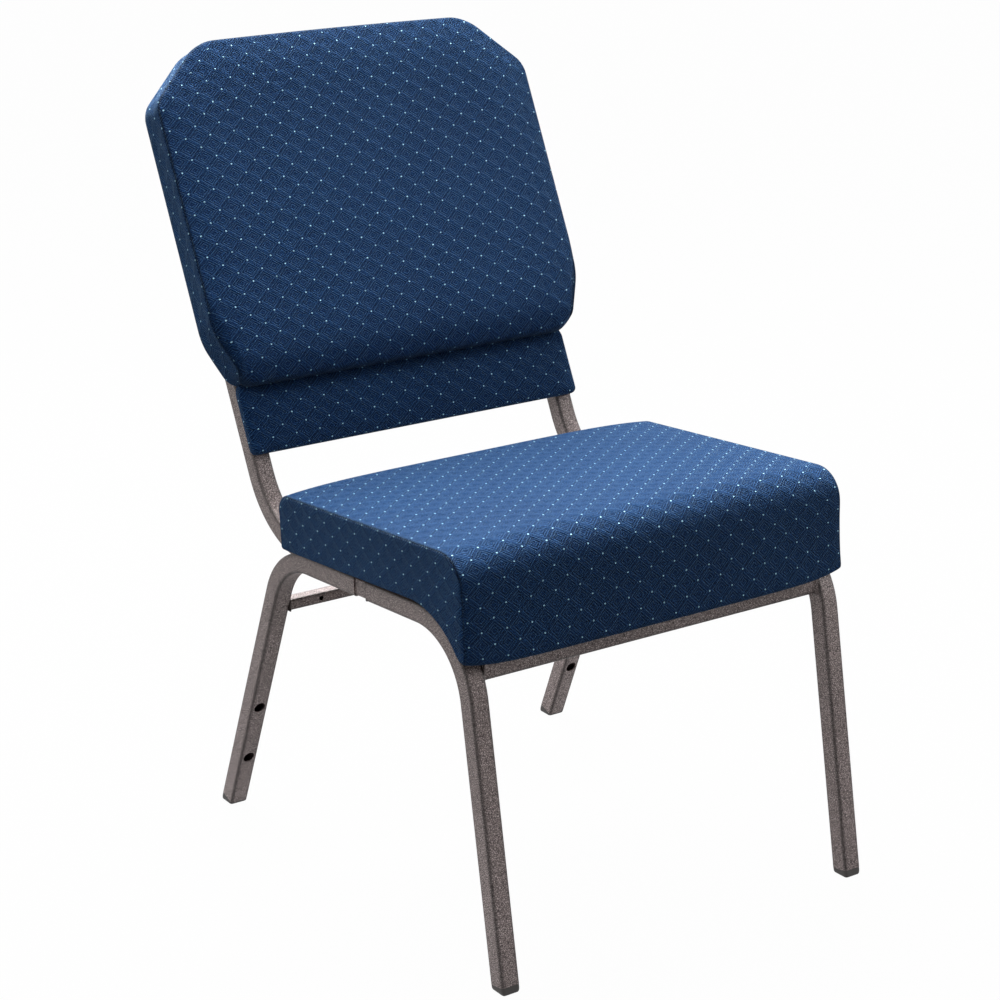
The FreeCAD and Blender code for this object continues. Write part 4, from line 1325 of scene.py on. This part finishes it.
def shows_surround(tree):
    """One for rays from the camera, off gloss or through glass, and nought for the rest."""
    seen = add(tree, "ShaderNodeLightPath").outputs
    rays = math_node(tree, "ADD", seen["Is Camera Ray"], seen["Is Glossy Ray"], clamp=True)
    return math_node(tree, "ADD", rays, seen["Is Transmission Ray"], clamp=True)


def light_the_stage():
    """Pale floor, white surround, and soft studio lamps from above behind and from both sides."""
    bm = bmesh.new()
    bmesh.ops.create_grid(bm, x_segments=1, y_segments=1, size=FLOOR_SIZE)
    mesh = bpy.data.meshes.new("floor")
    bm.to_mesh(mesh)
    bm.free()
    floor = bpy.data.objects.new("floor", mesh)
    scene.collection.objects.link(floor)
    material, tree, shader = new_material("pale_floor")
    join(tree, shader, {"Base Color": (FLOOR_GREY, FLOOR_GREY, FLOOR_GREY, 1), "Roughness": 0.9})
    glow = add(tree, "ShaderNodeEmission", {"Color": WHITE, "Strength": 1.0})
    share = math_node(tree, "MULTIPLY", shows_surround(tree), FLOOR_GLOW)
    blend = add(tree, "ShaderNodeMixShader", {0: share, 1: shader.outputs[0], 2: glow.outputs[0]})
    join(tree, tree.nodes["Material Output"], {"Surface": blend.outputs[0]})
    mesh.materials.append(material)

    world = bpy.data.worlds.new("studio")
    scene.world = world
    world.use_nodes = True
    tree = world.node_tree
    levels = {"Value": shows_surround(tree), "To Min": AMBIENT, "To Max": 1.0}
    strength = add(tree, "ShaderNodeMapRange", levels).outputs[0]
    join(tree, tree.nodes["Background"], {"Color": WHITE, "Strength": strength})

    lamps = {
        "overhead_behind": ((0.35, 1.3, 2.7), (0.1, -0.1, 0.45), 1.8, 355.0),
        "upper_left": ((-1.6, -0.85, 3.2), (0.0, 0.1, 0.5), 1.5, 46.0),
        "left_side": ((-3.0, 0.4, 1.0), (0.0, 0.0, 0.4), 1.6, 10.0),
        "right_side": ((2.6, -0.9, 1.5), (0.0, 0.1, 0.5), 1.6, 40.0),
    }
    for name, (place, target, size, power) in lamps.items():
        lamp = bpy.data.lights.new(name, "AREA")
        lamp.shape = "SQUARE"
        lamp.size = size
        lamp.energy = power
        holder = bpy.data.objects.new(name, lamp)
        holder.location = place
        holder.rotation_euler = (Vector(target) - Vector(place)).to_track_quat("-Z", "Y").to_euler()
        scene.collection.objects.link(holder)


def place_camera():
    data = bpy.data.cameras.new("photo_view")
    data.sensor_width = 36.0
    data.lens = CAMERA_LENS
    data.clip_end = 50.0
    camera = bpy.data.objects.new("photo_view", data)
    scene.collection.objects.link(camera)
    level = math.cos(CAMERA_ELEVATION)
    right = Vector((math.cos(CAMERA_AZIMUTH), math.sin(CAMERA_AZIMUTH), 0))
    back = Vector((right.y * level, -right.x * level, math.sin(CAMERA_ELEVATION)))
    turned = Matrix((right, back.cross(right), back)).transposed().to_4x4()
    camera.matrix_world = Matrix.Translation(CAMERA_AT) @ turned
    scene.camera = camera


scene.view_settings.view_transform = "Standard"
place_camera()
light_the_stage()
side_frames()
cross_rails()
weld_the_frame()
foot_glides()
dress_frame_nodes()
build_seat()
finish_back()
build_lumbar()
build_rear_panel()
